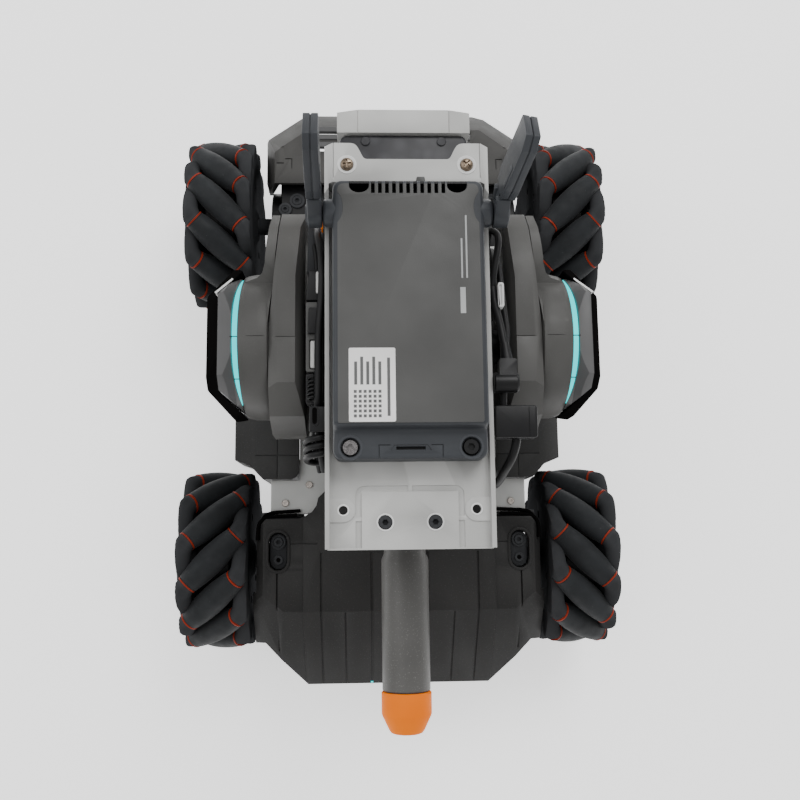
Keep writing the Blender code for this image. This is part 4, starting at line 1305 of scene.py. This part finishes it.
def label():
    """A white sticker with plain grey bars and a plain grid, and three bars beyond it. No text."""
    level = CASE_TOP + 0.12
    corners = rectangle(-25.2, -43.8, -6.2, -13.4)
    paper = prism("sticker", rounded_outline(corners, 0.8), "Z", level - 0.3, level + 0.12, LABEL)
    on_head(paper, "silver_plastic")
    bars = [(-23.0 + 2.45 * k, -28.6, 9.5 + 2.0 * (k % 2)) for k in range(5)] + [(-9.6, -41.5, 24.0)]
    cells = [(-23.2 + 2.0 * i, -42.0 + 2.0 * k, 1.2) for i in range(6) for k in range(6)]
    prints = [box("bar", (x, y, level), (x + 1.2, y + length, level + 0.2)) for x, y, length in bars + cells]
    on_head(gathered("sticker_bars", prints, PRINT), "slate_plastic")
    lines = ((21.0, 1.0, 2.2, 11.0), (21.6, 16.0, 0.7, 17.0), (23.6, 16.0, 0.7, 27.0))
    marks = [
        box("bar", (x, y, level - 0.2), (x + width, y + length, level + 0.06))
        for x, y, width, length in lines
    ]
    on_head(gathered("plain_marks", marks, MARK), "silver_plastic")


def antenna_place(side, folded):
    """Where an antenna's knuckle stands, or its blade, which folds 9.5 mm further up."""
    place = Matrix.Translation((side * 39.2, *HINGE_AT)) @ Matrix.Rotation(radians(-28), 4, "X")
    if folded:
        lean = radians(12) if side > 0 else 0
        place = place @ Matrix.Translation((0, 0, 9.5)) @ Matrix.Rotation(lean, 4, "Y")
    return place


def antennas():
    """Two flat antennas, each of two shells with a seam between them, on forked knuckles."""
    outline = [(-7.5, 4.5), (5.5, 4.5), (7.5, 10), (6.8, 36.4), (-5.8, 36.4), (-8.5, 30.4), (-8.5, 10)]
    for hand, side in SIDES:
        blade = prism(f"{hand}_antenna_shells", rounded_outline(outline, 0.9, 3), "X", 0.28, 3.0, SLATE)
        eased(blade, 0.55, 3)
        other = turned_over(twin(blade, "other"))
        core = prism("core", [(0.94 * y - 0.1, 20.5 + 0.96 * (z - 20.5)) for y, z in outline], "X", -0.7, 0.7)
        join(blade, other, core)
        tongue = rectangle(-1.9, -2.2, 1.9, 6)
        join(blade, prism("tongue", rounded_outline(tongue, [1.4, 1.4, 0, 0]), "X", -2.2, 2.2))
        blade.data.transform(antenna_place(side, True))
        put(blade, body_of(f"{hand}_antenna_blade"), "slate_plastic", f"{hand}_antenna_blade")
        for n, s in enumerate((-1, 1)):
            rib = prism(
                f"{hand}_antenna_rib_{n + 1}", rounded_outline(rectangle(-6.9, 9.5, -3.9, 20), 0.5), "X",
                s * 2.8, s * 3.25, SLATE
            )
            rib.data.transform(antenna_place(side, True))
            put(eased(rib, 0.2, 2), body_of(f"{hand}_antenna_blade"), "slate_plastic")
        refined(f"{hand}_antenna_knuckle", 0.7, SLATE)
        for n, (radius, start, end) in enumerate(((5.2, 2.7, 3.5), (3.6, 3.2, 4.0))):
            ring = disc(
                f"{hand}_knuckle_step_{n + 1}", radius, "X", (0, 0), side * start, side * end, SLATE, 36, 0.25
            )
            ring.data.transform(antenna_place(side, False))
            put(ring, body_of(f"{hand}_antenna_knuckle"), "slate_plastic")


# Routes of the leads right of the head: radius, then the listed points
RIGHT_LEADS = {
    "power_lead": (1.75, [
        (41.2, -10, 216.2), (39.9, 0, 214), (38.2, 10, 211.5), (37.4, 20, 210.5), (37.6, 30, 208),
        (38.4, 36, 203), (38.8, 37, 196), (38.2, 35.5, 189.5), (36, 35, 188), (33.6, 35, 188),
    ]),
    "signal_lead": (1.45, [
        (41.8, -10, 215.6), (42.9, -2, 212), (42.6, 8, 208.5), (41.9, 20, 206.5), (41.2, 31, 203),
        (40.0, 36, 196), (38.4, 36, 186), (36, 34, 181), (33.6, 34, 181),
    ]),
    "tray_lead": (1.5, [
        (37.0, 4, 206), (37.3, 16, 210.5), (38.3, 26, 212.6), (40.0, 35, 213), (40.1, 41, 212),
        (37.6, 44, 209), (36.9, 42, 203), (37.2, 36, 196),
    ]),
    "plug_to_plug_lead": (1.6, [
        (41.0, -24, 213.8), (40.6, -31, 212.5), (40.4, -38, 211.5),
    ]),
    "data_lead": (1.9, [
        (46, -44, 209.8), (46, -49.5, 210.2), (44.6, -56, 207), (42, -62, 199), (40.4, -66, 190),
        (39.0, -66.5, 180), (36.8, -62, 174.8), (33.6, -62, 174.5),
    ]),
}


def right_gap():
    """Between the head and the right arm: an angled power plug, a box-shaped data plug, and their leads."""
    plug = lathe(
        "power_plug_barrel", [(0, 35.9), (3.9, 35.9), (4.3, 36.5), (4.3, 45.6), (3.7, 46.6), (0, 46.8)], "X",
        (-25.6, 216.6), 32, BLACK,
    )
    neck = prism("neck", rounded_outline(rectangle(38.2, -28.5, 45.8, -15.6), 1.2), "Z", 213.6, 219.8)
    join(plug, neck)
    eased(plug, 0.4, 2)
    on_head(plug, "black_plastic", "power_plug")
    relief = tube(
        "power_plug_relief",
        route_through([(41.9, -16.0, 216.8), (41.5, -12.5, 216.6), (41.2, -8.5, 216.0)], 6),
        [2.9 - 0.07 * k for k in range(13)], 16, BLACK
    )
    on_head(relief, "black_plastic")
    for name, (radius, points) in RIGHT_LEADS.items():
        on_head(tube(name, route_through(points, 6), radius, 14, LEAD), "black_plastic")
    sheath = rounded_outline(rectangle(36.0, -49.0, 54.4, -35.1), 1.6)
    case = prism("data_plug_case", sheath, "Z", 208.6, 216.4, BLACK)
    eased(case, 0.8, 3)
    line = box("line", (50.6, -60, 216.05), (50.9, -30, 220))
    cut(case, line)
    on_head(case, "black_plastic", "data_plug")
    socket = prism(
        "metal_socket", rounded_outline(rectangle(39.3, 8.0, 41.9, 19.0), 1.1), "Z", 203, 214.6, BRIGHT
    )
    cut(socket, prism("mouth", rounded_outline(rectangle(39.8, 9.0, 40.9, 18.0), 0.5), "Z", 213.6, 220))
    on_head(eased(socket, 0.3, 2), "silver_plastic")
    board = box("right_side_board", (34.0, -46, 188), (38.0, 33, 202.5), HUB)
    on_head(eased(board, 1.0, 2), "black_plastic")


def left_gap():
    """Between the head and the left arm: a carrier with a button, a switch, leads and a slotted tab."""
    carrier = prism(
        "left_carrier", rounded_outline(rectangle(-44.3, -18.0, -34.0, 13.2), 1.0), "Z", 188, 203.6, CASE
    )
    pocket = rounded_outline(rectangle(-42.8, -17.0, -38.2, -3.6), 1.1)
    cut(carrier, prism("pocket", pocket, "Z", 202.4, 210))
    on_head(eased(carrier, 0.4, 2), "slate_plastic")
    for name, outline, low, top, finish in (
        ("left_button", rectangle(-42.3, -16.4, -38.8, -4.2), 201.8, 203.9, SILVER),
        ("left_switch", [(-43.4, -1.4), (-37.8, -1.4), (-37.8, 10.4), (-43.0, 10.4)], 203.0, 205.6, BLACK),
        ("left_dark_block", [(-44.2, 13.8), (-37.0, 13.8), (-37.0, 27.6), (-43.0, 27.6)], 190, 204.4, BLACK),
        ("left_latch", rectangle(-39.8, 16.6, -37.2, 26.4), 204.0, 206.4, SILVER),
        ("left_lower_block", rectangle(-44.4, -31.6, -37.4, -18.6), 190, 202.4, BLACK),
        ("left_front_block", [(-44.2, 28.2), (-38.4, 28.2), (-38.4, 44), (-43.6, 50)], 188, 198.0, HUB),
    ):
        piece = prism(name, rounded_outline(outline, 0.9), "Z", low, top, finish)
        on_head(eased(piece, 0.45, 2), "silver_plastic" if finish is SILVER else "black_plastic")
    coil = []
    for k in range(73):
        turn = 2 * pi * k / 12
        coil.append(Vector((-41.6 + 1.6 * cos(turn), -20.2 - 10.6 * k / 72, 204.0 + 1.6 * sin(turn))))
    on_head(tube("left_coiled_lead", coil, 0.62, 8, LEAD), "black_plastic")
    clip = refined("left_cable_clip", 0.6, BLACK)
    clip.name = "left_slotted_tab"
    slot_rim = prism("slot_rim", capsule(-40.1, -38.2, 1.7, 2.6), "Z", 209.2, 209.8, BLACK)
    cut(slot_rim, prism("hole", capsule(-40.1, -38.2, 1.0, 2.6), "Z", 205, 215))
    on_head(slot_rim, "black_plastic")
    on_head(
        prism("slot_floor", capsule(-40.1, -38.2, 1.05, 2.6), "Z", 209.2, 209.45, GLOSS_BLACK),
        "black_plastic"
    )
    for n, (x, height, radius) in enumerate(((-38.6, 206.2, 1.7), (-37.0, 203.5, 1.5), (-40.9, 199.5, 1.2))):
        points = [
            (x - 1.2, 50, height - 13), (x - 0.6, 44, height - 4), (x + 1.0, 34, height - 1),
            (x + 1.4, 18, height), (x, -2, height), (x - 0.2, -22, height - 0.6),
            (x - 0.4, -31, height - 1.6), (x - 0.6, -36, height - 4), (x - 0.2, -44, height - 6),
            (x + 0.4, -52, height - 9), (x + 1.8, -60, height - 17)
        ]
        on_head(tube(f"left_lead_{n + 1}", route_through(points, 5), radius, 12, LEAD), "black_plastic")
    for n in range(3):
        y = -46.5 - 3.4 * n
        points = [
            (-35.5, y, 205 - n), (-39.5, y - 0.8, 206.2 - 1.3 * n), (-43.2, y - 1.5, 203 - 1.5 * n),
            (-44.2, y - 2.5, 197 - 2 * n), (-41.5, y - 3, 192 - 2 * n), (-36, y - 3, 191 - 2 * n)
        ]
        on_head(tube(f"left_lead_loop_{n + 1}", route_through(points, 5), 1.5, 12, LEAD), "black_plastic")
    link = prism("orange_tag", rectangle(-37.4, 45.0, -36.7, 50.5), "Z", 203, 209, ORANGE)
    on_head(link, "signal_orange")


def head():
    barrel()
    housing()
    tray()
    tray_fittings()
    controller()
    controller_fittings()
    antennas()
    container()
    right_gap()
    left_gap()


# ---------------------------------------------------------------- stage


def stage():
    """A pale floor, soft lights and the camera above the front of the robot."""
    floor = box("floor", (-3, -3, -0.01), (3, 3, 0))
    made, tree, shader = node_tree("pale_floor", (0.90, 0.90, 0.90), 0.9)
    tone = blend_colour(tree, spread(tree, noise(tree, 3.0), 0, 1), (0.89, 0.89, 0.89), (0.91, 0.91, 0.91))
    tree.links.new(tone, shader.inputs["Base Color"])
    shader.inputs["Emission Color"].default_value = (1, 1, 1, 1)
    shader.inputs["Emission Strength"].default_value = 1.0
    floor.data.materials.append(made)
    world = bpy.data.worlds.new("studio")
    world.use_nodes = True
    world.node_tree.nodes["Background"].inputs["Color"].default_value = (1, 1, 1, 1)
    world.node_tree.nodes["Background"].inputs["Strength"].default_value = 0.70
    bpy.context.scene.world = world
    for name, place, size, power in (
        ("key_light", (0.45, 1.0, 1.5), 0.9, 17.0),
        ("fill_light", (-0.9, 0.3, 1.4), 1.2, 7.0),
        ("front_light", (0.5, -1.3, 0.9), 1.0, 1.6),
    ):
        lamp = bpy.data.lights.new(name, "AREA")
        lamp.size = size
        lamp.energy = power
        holder = bpy.data.objects.new(name, lamp)
        holder.location = place
        aim = Vector((0, 0, 0.1)) - Vector(place)
        holder.rotation_euler = aim.to_track_quat("-Z", "Y").to_euler()
        bpy.context.scene.collection.objects.link(holder)
    lens = bpy.data.cameras.new("camera")
    lens.lens = CAMERA_LENS
    lens.sensor_width = 36.0
    lens.clip_start = 0.01
    camera = bpy.data.objects.new("camera", lens)
    look = Vector(CAMERA_LOOK)
    right = look.cross(Vector(CAMERA_UP)).normalized()
    up = right.cross(look).normalized()
    turn = Matrix((right, up, -look)).transposed().to_4x4()
    camera.matrix_world = Matrix.Translation(Vector(CAMERA_AT) + Vector((0, MIDDLE_Y, 0))) @ turn
    bpy.context.scene.collection.objects.link(camera)
    bpy.context.scene.camera = camera


# ---------------------------------------------------------------- build


for spare in [thing for thing in bpy.data.objects if thing.name in ("Cube", "Light", "Camera")]:
    bpy.data.objects.remove(spare)
for node_name, node in frame["nodes"].items():
    node.data.materials.clear()
    node.data.materials.append(FINISH[SLOTS[node_name]])
stage()
wheels()
chassis()
gimbal()
head()
